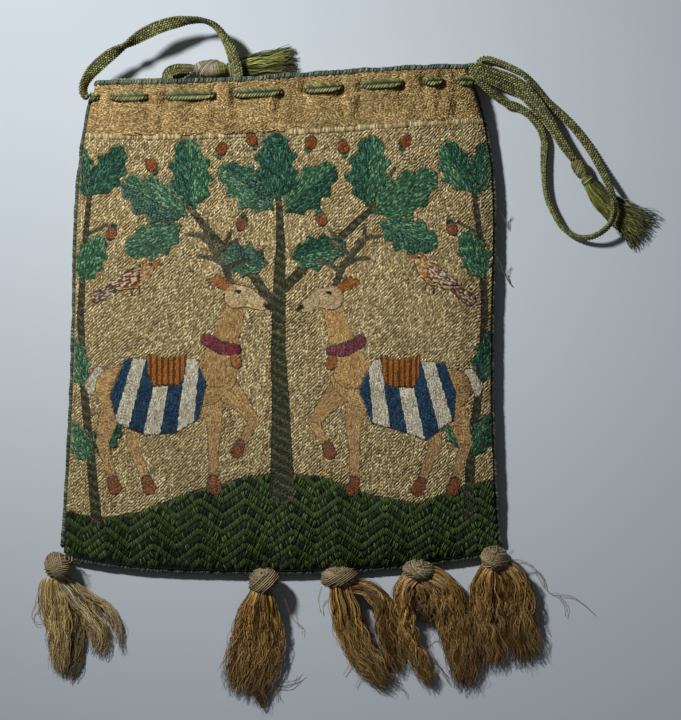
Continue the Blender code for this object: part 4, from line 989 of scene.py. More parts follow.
# Stitches as low ridges of silk, and the cloth beneath them
def stitchMesh(rows, relief, thick, side=1):
    # each stitch: a tip, two rings of three points and a tip, all on the relief; side -1 hangs under it
    x, y, direction, back, front, width, lift = rows[:, :7].T
    c, s = np.cos(direction), np.sin(direction)
    alongAt = np.stack([-back, *[-back * 0.5] * 3, *[front * 0.5] * 3, front], axis=1)
    acrossAt = np.stack([0 * x, -width / 2, 0 * x, width / 2, -width / 2, 0 * x, width / 2, 0 * x], axis=1)
    px = x[:, None] + alongAt * c[:, None] - acrossAt * s[:, None]
    py = y[:, None] + alongAt * s[:, None] + acrossAt * c[:, None]
    rise = np.array([-0.05, -0.06, thick, -0.06, -0.06, thick, -0.06, -0.05])
    pz = relief(px, py) + side * (lift[:, None] + rise)
    points = np.stack([px, py, pz], axis=-1).reshape(-1, 3)
    base = (np.arange(len(rows)) * 8)[:, None, None]
    quads = np.array([[1, 4, 5, 2], [2, 5, 6, 3], [3, 6, 4, 1]])
    ends = np.array([[0, 1, 2], [0, 2, 3], [0, 3, 1], [7, 5, 4], [7, 6, 5], [7, 4, 6]])
    around = np.tile([0.5, 0, 0.5, 1, 0, 0.5, 1, 0.5], (len(rows), 1))
    uvs = np.stack([around, alongAt], axis=-1).reshape(-1, 2)
    colours = np.repeat(np.clip(rows[:, 7:10], 0, 1), 8, axis=0)
    faces = [(corners[None, :, ::-side] + base).reshape(-1, corners.shape[1]) for corners in (quads, ends)]
    return points, faces, uvs, colours


def stitchPiece(name, rows, relief, thick, slot, side=1):
    points, faces, uvs, colours = stitchMesh(rows, relief, thick, side)
    return buildMesh(name, points, faces, silkStitch, colours=colours, uvs=uvs, slot=slot)


def closedPanel(topPoints, bottomPoints, rows, columns):
    # two grids joined round their rims into one closed shell
    count = rows * columns
    quads = gridFaces(rows, columns)
    i, j = np.arange(rows) * columns, np.arange(columns)
    rim = np.concatenate([j[:-1], i[:-1] + columns - 1, i[-1] + j[:0:-1], i[:0:-1]])
    following = np.roll(rim, -1)
    sides = np.stack([rim, following, following + count, rim + count], axis=1)
    return np.concatenate([topPoints, bottomPoints]), np.concatenate([quads[:, ::-1], quads + count, sides])


def panelGrid(height, us, vs):
    u, v = np.meshgrid(us, vs, indexing="ij")
    x, y = plan(u, v)
    return np.stack([x, y, height(u, v)], axis=-1).reshape(-1, 3)


def panelShell(top, under, us, vs):  # points and faces of a piece of cloth between two heights
    return closedPanel(panelGrid(top, us, vs), panelGrid(under, us, vs), len(us), len(vs))


silkStitch = threadMaterial("split stitch silk floss", 0.47, 0.08, filaments=3, glow=0.16, bump=0.3)
# The linen's brown is partly its own colour and partly painted shade, darkened for the gaps between the
# stitches.
stitchedLinen = threadMaterial("stained linen between the stitches", 0.9, 0.1, filaments=60, glow=0.25)

edgeUs = np.sin(np.linspace(-math.pi / 2, math.pi / 2, 71))
frontVs = borderV * (1 - np.cos(np.linspace(0, math.pi, 81))) / 2


def clothTop(u, v):
    return frontRelief(*plan(u, v))


def clothUnder(u, v):
    return frontHeight(u, v) - bag["panelWall"]


points, faces = panelShell(clothTop, clothUnder, edgeUs, frontVs)
under = smoothStep(-1.0, 0.6, hillEdge(points[:, 0]) - points[:, 1])[:, None]
colours = linear("80704a") * (1 - under) + linear("10180b") * under  # painted shade: near black under the hill's stitches, where the gaps between them lie in shade
frontCloth = buildMesh("frontLinen", points, faces, stitchedLinen, colours=colours, uvs=points[:, :2] * 0.08,
                       replaced=("front_panel",), slot="stitched_linen")
print("front cloth")

for group, rows in stitchGroups.items():
    piece = stitchPiece(group, np.concatenate(rows), frontRelief, embroidery["thick"], "stitched_linen")


# Header: a band of golden silk worked in short stitches, drawn into puckers by the braid
header = {
    "pucker": 1.05, "fold": 0.85, "puff": 0.75,
    "silks": ("c0a468", "b2955c", "ccb27e", "a08654", "ba9d64", "8c7244", "d8c28e"),
}
middleEyelets = (-0.702, -0.597, -0.350, -0.241, 0.0, 0.125, 0.314, 0.423, 0.628, 0.748, 0.838)
halfMouth = bag["mouthWidth"] / 2
frontEyelets = halfMouth * np.array([-0.953, -0.884, *middleEyelets, 0.911])
backEyelets = halfMouth * np.array([-0.791, *middleEyelets])


def rowAt(x):  # cloth coordinates and place of the drawstring row
    v = 1 - (bag["rowBelow"] - bindIn) / clothHeight
    left, right = outlineLeft(v) + edgeIn, outlineRight(v) - edgeIn
    u = np.clip(2 * (x - left) / (right - left) - 1, -1, 1)
    return u, v, outlineMouth(u) - bag["rowBelow"]


def puckers(x, y, eyelets):
    below = rowAt(x)[2] - y
    total = 0 * x
    for k, e in enumerate(eyelets):
        dx = x - e - 0.09 * (k % 3 - 1) * below
        total = total - header["pucker"] * np.exp(-((dx / 1.5) ** 2) - (below / 2.6) ** 2)
        reach = 1 - smoothStep(8, 14, below)
        total = total - header["fold"] * np.exp(-((dx / 1.5) ** 2)) * smoothStep(-6, 2, below) * reach
    return total + header["puff"] * noiseAt(x, y, 5.2, 41) + 0.35 * header["puff"] * noiseAt(x, y, 2.4, 43)


def headerRelief(x, y):
    u, v = planInverse(x, y)
    u, v = np.clip(u, -1, 1), np.clip(v, 0, 1)
    return frontHeight(u, v) + puckers(x, y, frontEyelets) * (1 - np.abs(u) ** 14)


headerUs, headerVs = np.linspace(-1, 1, 121), np.linspace(borderV + bag["seamGap"] / clothHeight, 1, 15)


def headerTop(u, v):
    return headerRelief(*plan(u, v))


def headerUnder(u, v):
    return frontHeight(u, v) - bag["headerWall"] - 0.2


headerLinen, tree, shader = newMaterial("golden brown linen under the header's silk")
shader.inputs["Base Color"].default_value = (*linear("8e7140"), 1)
shader.inputs["Roughness"].default_value = 0.9
points, faces = panelShell(headerTop, headerUnder, headerUs, headerVs)
frontHeader = buildMesh("frontHeaderLinen", points, faces, headerLinen, replaced=("header_front",),
                        slot="golden_silk")


def headerRows(inBand, spacing, step, length, width, seed):  # short stitches that lie all ways, mostly across
    rng = np.random.default_rng(seed)
    x, y = np.meshgrid(np.arange(-72, 74, step), np.arange(60, 88, spacing), indexing="ij")
    x = (x + rng.uniform(0, step, (1, x.shape[1])) + rng.normal(0, 0.15, x.shape)).ravel()
    y = (y + rng.normal(0, 0.08, y.shape)).ravel()
    swirl = 38 * noiseAt(x, y, 3.4, seed) + 22 * noiseAt(x, y, 9.0, seed + 1)
    direction = np.radians(4 + swirl + rng.normal(0, 13, len(x)))
    reach = length / 2
    ok = inBand(x, y)
    for sign in (-1, 1):
        ok &= inBand(x + sign * reach * 0.6 * np.cos(direction), y + sign * reach * 0.6 * np.sin(direction))
    x, y, direction = x[ok], y[ok], direction[ok]
    tone = 1 + 0.19 * noiseAt(x, y, 6.0, seed + 2) + rng.normal(0, 0.12, len(x))
    colour = mixed(rng, header["silks"], len(x)) * tone[:, None]
    half = reach * rng.uniform(0.8, 1.15, len(x))
    wide, up = width * rng.uniform(0.88, 1.12, len(x)), rng.uniform(0, 0.16, len(x))
    return np.column_stack([x, y, direction, half, half, wide, up, colour])


def inHeader(x, y):
    u, v = planInverse(x, y)
    return (np.abs(u) < 0.998) & (v > borderV - 0.004) & (v < 1.003)


rows = headerRows(inHeader, 0.4, 0.88, 1.35, 0.41, 51)
stitchPiece("frontHeaderStitches", rows, headerRelief, 0.36, "golden_silk")
print("header", len(rows), "stitches")


# Whipped edges: slanted wraps round a dark core; each has its slant, slot, colours and their odds
seamOdds = (0.35, 0.3, 0.2, 0.15)
whipping = {
    "mouth": {"slant": 34, "slot": "green_whipping", "core": "2c3a30",
              "colours": ("3f4d3d", "4a5847", "323f31", "59644e", "77755c", "5f624b"),
              "odds": (0.24, 0.2, 0.2, 0.14, 0.1, 0.12)},
    "side": {"slant": 40, "slot": "dark_green_thread", "core": "1f2a1c", "odds": seamOdds,
             "colours": ("46523c", "384430", "5a644c", "7d7862")},
    # The bottom edging's greens are partly the thread's own dark colour and partly painted shade along the
    # bottom edge.
    "bottom": {"slant": 40, "slot": "dark_green_thread", "core": "1f2a1c", "odds": seamOdds,
               "colours": ("2a3522", "1f281a", "35412a", "424c33")},
    "pitch": 0.8, "steps": 16, "sides": 5,
}


def wrapCord(name, kind, middle, radius, seed, node):
    look, pitch, steps, sides = whipping[kind], whipping["pitch"], whipping["steps"], whipping["sides"]
    path, length = smoothRoute(middle, 0.5)
    along = unit(np.gradient(path, axis=0))
    across = unit(np.cross(np.array([0, 0, 1.0]), along))
    rng = np.random.default_rng(seed)
    lengths, count = np.linspace(0, length, len(path)), int(length / pitch)
    s = (np.arange(count) + 0.5) * pitch + rng.normal(0, pitch * 0.08, count)
    c, a, w, n = sampled(s, lengths, path, along, across, np.cross(along, across))
    angle = np.linspace(0, 2 * math.pi, steps, endpoint=False)
    cosine, sine = np.cos(angle)[None, :, None], np.sin(angle)[None, :, None]
    lean = math.tan(math.radians(look["slant"])) * radius
    around = (radius * 0.86 * rng.uniform(0.9, 1.12, count))[:, None, None]
    centre = c[:, None] + w[:, None] * around * cosine + n[:, None] * around * sine
    shift = lean * np.sin(angle + 0.6)[None, :] * rng.uniform(0.5, 1.5, (count, 1))
    centre = centre + a[:, None] * shift[..., None]
    outward = w[:, None] * cosine + n[:, None] * sine
    thick = (pitch * 0.56 * rng.uniform(0.75, 1.3, count))[:, None, None, None]
    turn = np.linspace(0, 2 * math.pi, sides, endpoint=False)
    ring = centre[:, :, None] + (outward[:, :, None] * np.cos(turn)[None, None, :, None] * radius * 0.2
                                 + a[:, None, None] * (np.sin(turn)[None, None, :, None] * thick))
    per = steps * sides
    i, j = np.meshgrid(np.arange(steps), np.arange(sides), indexing="ij")
    nextI, nextJ = (i + 1) % steps, (j + 1) % sides
    corners = (i * sides + j, nextI * sides + j, nextI * sides + nextJ, i * sides + nextJ)
    quads = np.stack(corners, axis=-1).reshape(-1, 4)
    faces = (quads[None] + (np.arange(count) * per)[:, None, None]).reshape(-1, 4)
    uvs = np.stack([np.tile(np.arange(sides) / sides, steps), np.repeat(angle, sides)], axis=1)
    pick = shadesOf(look["colours"])[rng.choice(len(look["colours"]), count, p=look["odds"])]
    pick = pick * rng.uniform(0.85, 1.12, (count, 1))
    wraps = (ring.reshape(-1, 3), [faces], np.tile(uvs, (count, 1)), np.repeat(pick, per, axis=0))
    tube = manyTubes(path[None, ::3], np.full((1, len(path[::3])), radius * 0.8), sides=8)
    core = (*tube[:3], linear(look["core"]))
    return buildParts(name, [wraps, core], silkStitch, replaced=(node,), slot=look["slot"])


us = np.linspace(-0.995, 0.995, 61)
x = plan(us, 1.0)[0]
y = outlineMouth(us) - bag["binding"] + 0.35 * noiseAt(x, x * 0, 5, 61)
frontZ = frontHeight(us, 1.0) - bag["headerWall"] / 2
backZ = backHeight(us, 1.0) + max(bag["headerWall"] / 2, bag["binding"] - bag["mouthLift"])
for side, z, seed in (("Front", frontZ, 63), ("Back", backZ, 64)):
    node = "mouth_binding_" + side.lower()
    wrapCord("mouthBinding" + side, "mouth", np.stack([x, y, z], axis=1), bag["binding"] * 1.02, seed, node)

seamV = np.linspace(2.2 / clothHeight, 0.972, 62)
seamZ = (backHeight(np.ones_like(seamV), seamV) + frontEdge(seamV)) / 2
for side, edge, sign in (("Left", outlineLeft, 1), ("Right", outlineRight, -1)):
    y = plan(-sign * np.ones_like(seamV), seamV)[1]
    x = edge(seamV) + sign * (bag["edging"] + 0.65) + 0.25 * noiseAt(y, y * 0, 3.0, 67 + sign)
    middle, node = np.stack([x, y, seamZ + 0.3], axis=1), "side_edging_" + side.lower()
    wrapCord("sideEdging" + side, "side", middle, bag["edging"] * 0.92, 65 + sign, node)
us = np.linspace(-1, 1, 60)
x = plan(us, 0 * us)[0] + edgeIn * us
y = outlineBottom(us) + bag["edging"] + 0.15 * noiseAt(x, x * 0, 4, 71)
z = np.full_like(us, bag["seamLift"] + bag["panelWall"] + bag["seamGap"] / 2)
wrapCord("bottomEdging", "bottom", np.stack([x, y, z], axis=1), bag["edging"] * 0.88, 69, "bottom_edging")
print("bindings")


# The threaded braid, in and out of both headers
threading = {
    "width": 3.5, "thickness": 1.15, "clear": 0.5, "bend": 0.9, "pitch": 0.95, "slant": 44,
    "colours": ("6c7034", "7e8042", "575c28", "8f904e"),
}


def braidLevel(x, outside, front):
    u, v, _ = rowAt(x)
    step = threading["clear"] + 0.55
    if front:
        return frontHeight(u, v) + (step if outside else -bag["headerWall"] - step)
    return backHeight(u, v) + (-step if outside else bag["headerWall"] + step)


def threadedPath(insets, eyelets, outside, front):
    points, x = [], outlineLeft(1.0) + insets[0]
    bend = threading["bend"]

    def runAlong(low, high):
        count = max(int((high - low) / 0.5), 1) + 1
        for p in np.linspace(low, high, count):
            share = (p - low) / max(high - low, 1e-6)
            crown = 0.25 * math.sin(math.pi * share) if outside and front else 0
            points.append((p, float(braidLevel(p, outside, front)) + crown))

    for eyelet in eyelets:
        runAlong(x, eyelet - bend)
        here = float(braidLevel(eyelet - bend, outside, front))
        outside = not outside
        there = float(braidLevel(eyelet + bend, outside, front))
        turn = math.copysign(bend, there - here)
        for a in np.radians((25, 50, 75)):
            points.append((eyelet - bend * (1 - math.sin(a)), here + turn * (1 - math.cos(a))))
        for a in np.radians((15, 40, 65)):
            points.append((eyelet + bend * (1 - math.cos(a)), there - turn * (1 - math.sin(a))))
        x = eyelet + bend
    runAlong(x, outlineRight(1.0) - insets[1])
    p = np.array(points)
    return np.stack([p[:, 0], rowAt(p[:, 0])[2], p[:, 1]], axis=1)


def threadedRun(name, insets, eyelets, outside, front, node, seed):
    path = threadedPath(insets, eyelets, outside, front)
    along = unit(np.gradient(path, axis=0))
    across = unit(np.array([0, 1.0, 0]) - along * along[:, 1:2])
    narrow = np.min(np.abs(path[:, :1] - eyelets[None]), axis=1)  # drawn in at each eyelet
    width = threading["width"] * (0.62 + 0.42 * smoothStep(0.3, 2.6, narrow))
    parts = braidParts(path, (along, across, np.cross(along, across)), width, threading["thickness"], 2, seed,
                       threading["pitch"], threading["slant"], threading["colours"])
    return buildParts(name, parts, silkBraid, replaced=(node,), slot="green_braid")


threadedRun("threadedBraidFront", (0.4, 0.0), frontEyelets, True, True, "drawstring_front_run", 81)
threadedRun("threadedBraidBack", (10.7, -0.2), backEyelets, False, False, "drawstring_back_run", 82)
print("threaded braid")


# Tassels: a wound knot with a skirt of loose silk floss, laid out lock by lock
tassel = {"strand": 0.115, "yarns": 3.5, "steps": 20, "more": 1.3, "crimp": 0.55}


def flossParts(locks, palette, seed, crimp=1.0, strand=tassel["strand"]):
    # a lock: points (x, y, z), half widths, half thicknesses, strands, brightness; strands go in small yarns
    rng = np.random.default_rng(seed)
    parts = []
    for points, wide, thick, count, bright in locks:
        centre, length = smoothRoute(points, 0.8)
        side = unit(np.cross([0, 0, 1.0], unit(np.gradient(centre, axis=0))))
        share = np.linspace(0, 1, len(centre))
        centre[:, 2] *= 1 - 0.22 * smoothStep(0.1, 0.45, share)  # sinks on to the table
        w = np.interp(share, np.linspace(0, 1, len(wide)), wide)
        h = np.interp(share, np.linspace(0, 1, len(thick)), thick)
        count = int(count * tassel["more"])
        yarns = max(int(count / tassel["yarns"]), 3)
        radius, angle = np.sqrt(rng.uniform(0, 1, yarns)), rng.uniform(0, 2 * math.pi, yarns)
        yarnA, yarnB = radius * np.cos(angle), radius * np.sin(angle)
        yarnShade = mixed(rng, palette, yarns) * rng.uniform(0.66, 1.36, (yarns, 1))
        yarnEnd = 0.97 - 0.16 * rng.uniform(0, 1, yarns) ** 2
        drift = rng.normal(0, 0.16, (yarns, 2))
        curl = rng.uniform(0, 6.28, (yarns, 2))
        pace = length * rng.uniform(0.4, 0.95, (yarns, 2))  # one crimp in 7 to 16 mm
        pick = rng.integers(0, yarns, count)
        end = yarnEnd[pick] * (1.04 - 0.34 * rng.uniform(0, 1, count) ** 2.2)
        t = np.clip(np.linspace(0, 1, tassel["steps"])[None, :] * end[:, None], 0, 1)
        c, s = sampled(t, share, centre, side)
        wt, ht = np.interp(t, share, w), np.interp(t, share, h)
        loose = 0.05 + 0.2 * t**1.3
        a = yarnA[pick][:, None] + drift[pick, :1] * t + loose * rng.normal(0, 1, (count, 1))
        a = 1.8 * np.tanh(a / 1.8)  # no strand strays far from the skirt
        b = yarnB[pick][:, None] + drift[pick, 1:] * t + 0.5 * loose * rng.normal(0, 1, (count, 1))
        phase, rate = rng.uniform(0, 6.28, (count, 2)), rng.uniform(4, 11, (count, 2))
        wave = 0.2 + 0.42 * t
        bend = crimp * tassel["crimp"] * (0.25 + 0.75 * smoothStep(0.05, 0.4, t))
        a = a * wt + wave * np.sin(rate[:, :1] * t + phase[:, :1])
        a = a + crimp * 0.13 * rng.normal(0, 1, t.shape) * smoothStep(0, 0.5, t)
        a = a + bend * np.sin(pace[pick, :1] * t + curl[pick, :1])
        b = np.clip(b, -1, 1.15) * ht + 0.4 * wave * np.sin(rate[:, 1:] * t + phase[:, 1:])
        b = b + 0.7 * bend * np.sin(pace[pick, 1:] * t + curl[pick, 1:])
        paths = c + s * a[..., None]
        paths[..., 2] += b
        paths[..., 2] = np.maximum(paths[..., 2], 0.25 + strand)
        radii = strand * (1 - 0.6 * (t / np.maximum(t[:, -1:], 1e-6)) ** 3)
        radii = radii * rng.uniform(0.75, 1.25, (count, 1))
        strandPoints, faces, uvs, _ = manyTubes(paths, radii, sides=3)
        # painted shade: strands lower in a lock are darker
        shadeBelow = 0.56 + 0.55 * np.clip(yarnB[pick] + 0.6, 0, 1)
        tone = yarnShade[pick] * (bright * shadeBelow * rng.uniform(0.8, 1.2, count))[:, None]
        along3 = np.repeat(np.linspace(0, 1, tassel["steps"]), 3)
        fade = np.concatenate([1.0 - 0.28 * along3**2.2, [1.0, 0.7]])
        colours = tone[:, None, :] * fade[None, :, None]
        parts.append((strandPoints, faces, uvs, np.clip(colours.reshape(-1, 3), 0, 1)))
    return parts


def onTable(points):  # from steps of 0.335 mm, right and down over the table, to millimetres
    return [((x - 281) * 0.335, (324.1 - y) * 0.335, z) for x, y, z in points]


def windParts(centre, sizes, bands, seed, palette, core, thread=0.24, heading=0.0):
    # threads laid round an ellipsoid; a band is (axis, threads, lowest and highest place on the axis, layer)
    rng = np.random.default_rng(seed)
    turn = math.radians(heading)
    spin = np.array([[math.cos(turn), -math.sin(turn), 0], [math.sin(turn), math.cos(turn), 0], [0, 0, 1]])
    steps, around, rows = 26, 18, 10
    loops, radii = [], []
    for axis, count, low, high, layer in bands:
        n = np.array(axis, float) / np.linalg.norm(axis)
        e1 = np.cross(n, [0, 0, 1.0] if abs(n[2]) < 0.9 else [0, 1.0, 0])
        e1 /= np.linalg.norm(e1)
        e2 = np.cross(n, e1)
        for d in np.linspace(low, high, count):
            angle = np.linspace(0, 2 * math.pi, steps) - math.pi / 2
            ring = math.sqrt(1 - d * d)
            loop = n * d + ring * (e1 * np.cos(angle)[:, None] + e2 * np.sin(angle)[:, None])
            grow = 1 + 0.055 * layer + 0.012 * rng.normal()
            loop = loop * grow + 0.016 * rng.normal(0, 1, (steps, 1)) * loop
            loops.append((loop * sizes) @ spin.T + centre)
            radii.append(np.full(steps, thread * rng.uniform(0.85, 1.15)))
    points, faces, uvs, per = manyTubes(np.array(loops), np.array(radii), sides=5)
    tone = mixed(rng, palette, len(loops)) * rng.uniform(0.82, 1.15, (len(loops), 1))
    theta, phi = np.linspace(0.12, math.pi - 0.12, rows), np.linspace(0, 2 * math.pi, around, endpoint=False)
    theta, phi = np.meshgrid(theta, phi, indexing="ij")
    ball = np.stack([np.cos(theta), np.sin(theta) * np.cos(phi), np.sin(theta) * np.sin(phi)], axis=-1)
    ball = np.concatenate([ball.reshape(-1, 3), [[1, 0, 0], [-1, 0, 0]]]) * 0.99
    k, tip, last = np.arange(around), rows * around, (rows - 1) * around
    caps = np.concatenate([np.stack([np.full(around, tip), k, (k + 1) % around], axis=1),
                           np.stack([np.full(around, tip + 1), last + (k + 1) % around, last + k], axis=1)])
    ballFaces = [gridFaces(rows, around, wrap=True)[:, ::-1], caps]
    corePart = ((ball * sizes) @ spin.T + centre, ballFaces, np.zeros((tip + 2, 2)), linear(core))
    return [(points, faces, uvs, np.repeat(tone, per, axis=0)), corePart]


paleThread = threadMaterial("pale wound linen thread", rough=0.75, sheen=0.15, filaments=4, glow=0.2)
silkFloss = threadMaterial("loose silk floss", rough=0.45, sheen=0.12, filaments=2, glow=0.14, bump=0.1)
knotPalette = ("9a8866", "8a7857", "aa9872", "78684a", "907e5c")
goldFloss = ("be9654", "a07c3e", "d8b270", "80602c", "b28c48", "5c431e")
strawFloss = ("cdb483", "b89e6a", "dcc698", "a08652", "c4aa76", "7e683a")
crossing = (((0, 1, 0.1), 8, -0.8, 0.8, 0), ((0.75, 0.65, 0), 7, -0.42, 0.42, 1),
            ((-0.75, 0.65, 0.1), 7, -0.4, 0.4, 2), ((0.1, 1, 0), 3, 0.72, 0.9, 2))
arching = (((0, 1, 0), 9, -0.85, 0.85, 0), ((0.3, 0.9, 0.35), 8, -0.1, 0.75, 1),
           ((1, 0.25, 0), 6, -0.35, 0.35, 1), ((0.85, 0.5, 0.3), 4, -0.2, 0.2, 2))

bottomTassels = {  # hinge, knot sizes, windings, then locks as flossParts takes them
    "far_left": ((-74.6, -81.0, 6.325), (4.3, 4.5, 4.2), arching, (
        ([(53, 578, 6.0), (53, 592, 5.2), (57, 612, 4.0), (60, 634, 3.2), (60, 652, 2.6), (62, 673, 2.2)],
         (3.0, 5.0, 4.9, 4.0, 3.2, 2.8), (2.6, 2.6, 2.4, 2.0, 1.6, 1.2), 330, 1.4),
        ([(60, 578, 5.6), (72, 592, 4.4), (84, 607, 3.2), (96, 625, 2.6), (101, 640, 2.2), (99, 655, 2.0)],
         (2.2, 2.6, 2.8, 2.9, 2.6, 2.2), (2.2, 2.2, 1.8, 1.5, 1.2, 0.9), 170, 1.4),
        # This lock's low brightness, 0.6, is partly its darker strands and partly painted shade in the middle
        # of the skirt.
        ([(62, 580, 4.0), (72, 605, 2.6), (76, 628, 1.8), (77, 655, 1.4), (69, 681, 1.2)],
         (2.6, 2.4, 2.2, 1.9, 1.4), (1.8, 1.4, 1.0, 0.8, 0.6), 130, 0.6),
        ([(68, 577, 5.0), (84, 592, 3.6), (103, 604, 2.6), (116, 618, 2.0), (120, 636, 1.8),
          (122, 652, 1.6)],
         (0.8, 0.9, 1.1, 1.2, 1.0, 0.8), (0.8, 0.8, 0.7, 0.6, 0.5, 0.4), 34, 1.0),
        ([(66, 578, 4.6), (86, 598, 3.2), (98, 622, 2.2), (106, 645, 1.6)],
         (1.0, 3.4, 5.6, 6.2), (1.0, 1.2, 1.0, 0.7), 60, 1.1))),
    "left": ((-5.699, -86.098, 6.311), (4.9, 4.1, 3.9), crossing, (
        ([(262, 588, 6.2), (261, 598, 5.8), (259, 613, 4.6), (257.5, 642, 3.4), (250, 670, 3.0),
          (243, 695, 2.6)],
         (3.4, 6.6, 8.4, 8.6, 7.8, 6.4), (2.6, 3.0, 2.9, 2.5, 2.0, 1.5), 640, 1.0),
        ([(262, 594, 5.0), (263, 625, 3.6), (259, 660, 2.8), (262, 686, 2.2), (264, 708, 1.8)],
         (2.4, 3.4, 3.2, 2.4, 1.0), (2.0, 2.2, 1.8, 1.3, 0.8), 150, 0.9))),
    "middle": ((19.396, -84.802, 5.829), (5.9, 3.3, 3.3), crossing, (
        ([(339, 583, 5.6), (343, 600, 4.6), (349, 622, 3.8), (359, 646, 3.2), (375, 668, 2.8),
          (391, 686, 2.4)],
         (3.4, 5.0, 5.4, 5.2, 4.6, 3.2), (2.4, 2.6, 2.4, 2.1, 1.7, 1.2), 380, 1.0),
        ([(346, 586, 5.4), (366, 588, 5.2), (382, 604, 4.6), (386, 630, 3.4), (393, 653, 2.4),
          (401, 674, 1.9)],
         (1.8, 2.8, 3.3, 3.3, 3.0, 2.2), (1.8, 2.1, 2.0, 1.8, 1.4, 1.0), 250, 0.95))),
    "right": ((45.998, -82.398, 5.765), (5.1, 3.2, 3.2), arching, (
        ([(414, 574, 5.6), (405, 584, 5.4), (403, 598, 5.2), (404, 618, 5.0), (410, 642, 4.4),
          (420, 664, 3.4), (432, 687, 2.4)],
         (2.6, 3.0, 3.2, 2.6, 2.5, 2.5, 1.8), (1.4, 1.9, 2.1, 1.8, 1.5, 1.3, 1.0), 260, 1.0),
        ([(416, 576, 4.6), (420, 588, 4.8), (424, 600, 4.4), (427, 614, 3.4), (427, 624, 2.6)],
         (3.6, 5.6, 6.2, 4.6, 2.4), (1.2, 1.6, 1.8, 1.6, 1.0), 260, 0.8),
        ([(420, 573, 5.6), (435, 580, 5.2), (447, 596, 4.4), (453, 620, 3.6), (461, 650, 3.0),
          (466, 688, 2.4)],
         (3.4, 5.2, 5.8, 5.6, 5.0, 3.4), (1.6, 2.4, 2.8, 2.4, 1.9, 1.3), 430, 0.95))),
    "far_right": ((71.392, -78.45, 6.522), (4.4, 3.9, 3.8), arching, (
        ([(492, 565, 6.6), (487, 576, 5.6), (485, 596, 4.2), (487, 622, 3.4), (492, 646, 3.0),
          (494, 668, 2.6)],
         (3.0, 5.0, 5.6, 5.6, 5.4, 4.8), (1.6, 2.2, 2.7, 2.3, 1.9, 1.4), 400, 1.0),
        ([(496, 565, 6.4), (510, 574, 5.6), (518, 594, 4.0), (520, 620, 3.4), (525, 644, 2.8),
          (530, 662, 2.4)],
         (2.6, 4.4, 5.2, 5.2, 5.0, 4.4), (1.5, 2.1, 2.5, 2.2, 1.8, 1.3), 360, 0.95))),
}
wisps = {  # single curved threads that have come away from their skirts
    "far_left": ([(41, 585, 4), (37, 600, 3), (34, 610, 1)],
                 [(44, 590, 3), (33, 612, 1), (36, 624, 0.8), (46, 620, 1)]),
    "left": ([(286, 600, 5), (294, 618, 2), (302, 628, 0.8), (303, 636, 0.8)],
             [(272, 680, 2), (286, 682, 0.8), (297, 680, 0.8), (303, 674, 1.2)],
             [(272, 676, 2), (276, 690, 0.8), (280, 700, 0.8)],
             [(270, 682, 2), (284, 687, 0.8), (292, 686, 0.8), (300, 677, 0.8)]),
    "middle": ([(322, 585, 4), (318, 600, 2), (322, 612, 1)], [(358, 650, 3), (349, 664, 1), (343, 675, 0.8)],
               [(364, 665, 2), (358, 680, 0.8), (354, 687, 0.8)],
               [(388, 680, 2), (404, 690, 0.8), (406, 696, 0.8)]),
    "right": ([(430, 650, 3), (441, 668, 1), (449, 684, 0.8)],
              [(434, 632, 3), (428, 640, 1), (433, 660, 0.8), (446, 676, 0.8)]),
    "far_right": ([(505, 562, 6), (516, 559, 5), (534, 568, 3), (546, 590, 0.9), (556, 594, 0.8),
                   (570, 596, 0.8), (584, 604, 0.8), (593, 614, 0.8)],
                  [(510, 562, 5), (528, 563, 3), (541, 574, 1), (545, 586, 0.8)],
                  [(530, 590, 3), (537, 610, 1), (546, 626, 0.8), (548, 634, 0.8)],
                  [(558, 595, 0.9), (564, 605, 0.8), (565, 616, 0.8)]),
}


def wispParts(lines, palette, seed, size=0.065):
    rng = np.random.default_rng(seed)
    parts = []
    for line in lines:
        for twin in range(2):
            path = smoothRoute(onTable(line) + rng.normal(0, 0.35, (len(line), 3)) * (1, 1, 0.1), 0.9)[0]
            path[:, 2] = np.maximum(path[:, 2], 0.35)
            points, faces, uvs, _ = manyTubes(path[None], np.full((1, len(path)), size), sides=4)
            parts.append((points, faces, uvs, linear(palette[rng.integers(0, len(palette))]) * 0.8))
    return parts


frizz = {"far_left": 0.8, "left": 1.0, "middle": 1.1, "right": 1.6, "far_right": 1.4}
for seed, (name, (hinge, sizes, windings, locks)) in enumerate(bottomTassels.items()):
    body, plain = "tassel_" + name, name.replace("_", "")
    parts = windParts(np.array(hinge), np.array(sizes), windings, 100 + seed, knotPalette, "6f6146")
    buildParts(plain + "Knot", parts, paleThread, body=body, replaced=(body + "_knot",), slot="pale_thread")
    floss = strawFloss if name == "far_left" else goldFloss
    locks = [(onTable(way), *rest) for way, *rest in locks]
    halo = [(way, [1.22 * w for w in wide], [1.1 * h for h in thick], int(0.08 * count), bright)
            for way, wide, thick, count, bright in locks]
    parts = flossParts([*locks, *halo], floss, 120 + seed, crimp=frizz[name])
    parts += wispParts(wisps[name], floss, 140 + seed)
    buildParts(plain + "Floss", parts, silkFloss, body=body, replaced=(body + "_skirt",),
               slot="golden_brown_floss")
print("bottom tassels")

# knots and tassels on the drawstring
greenFloss = ("747838", "5f6630", "888c45", "4d5326", "9ca052", "3a3f19")


def drawTassel(name, locks, seed, crimp, strand, middle, sizes, low, heading=0.0):
    # middle, sizes and lowest thread are those of the winding that holds the floss together
    parts, body = flossParts(locks, greenFloss, seed, crimp=crimp, strand=strand), name + "_tassel"
    parts += windParts(np.array(middle), np.array(sizes), (((1, 0.1, 0), 7, low, 0.8, 0),), seed + 1,
                       greenFloss, "333a1b", heading=heading)
    return buildParts(name + "TasselFloss", parts, silkFloss, body=body, replaced=(body,), slot="green_floss")


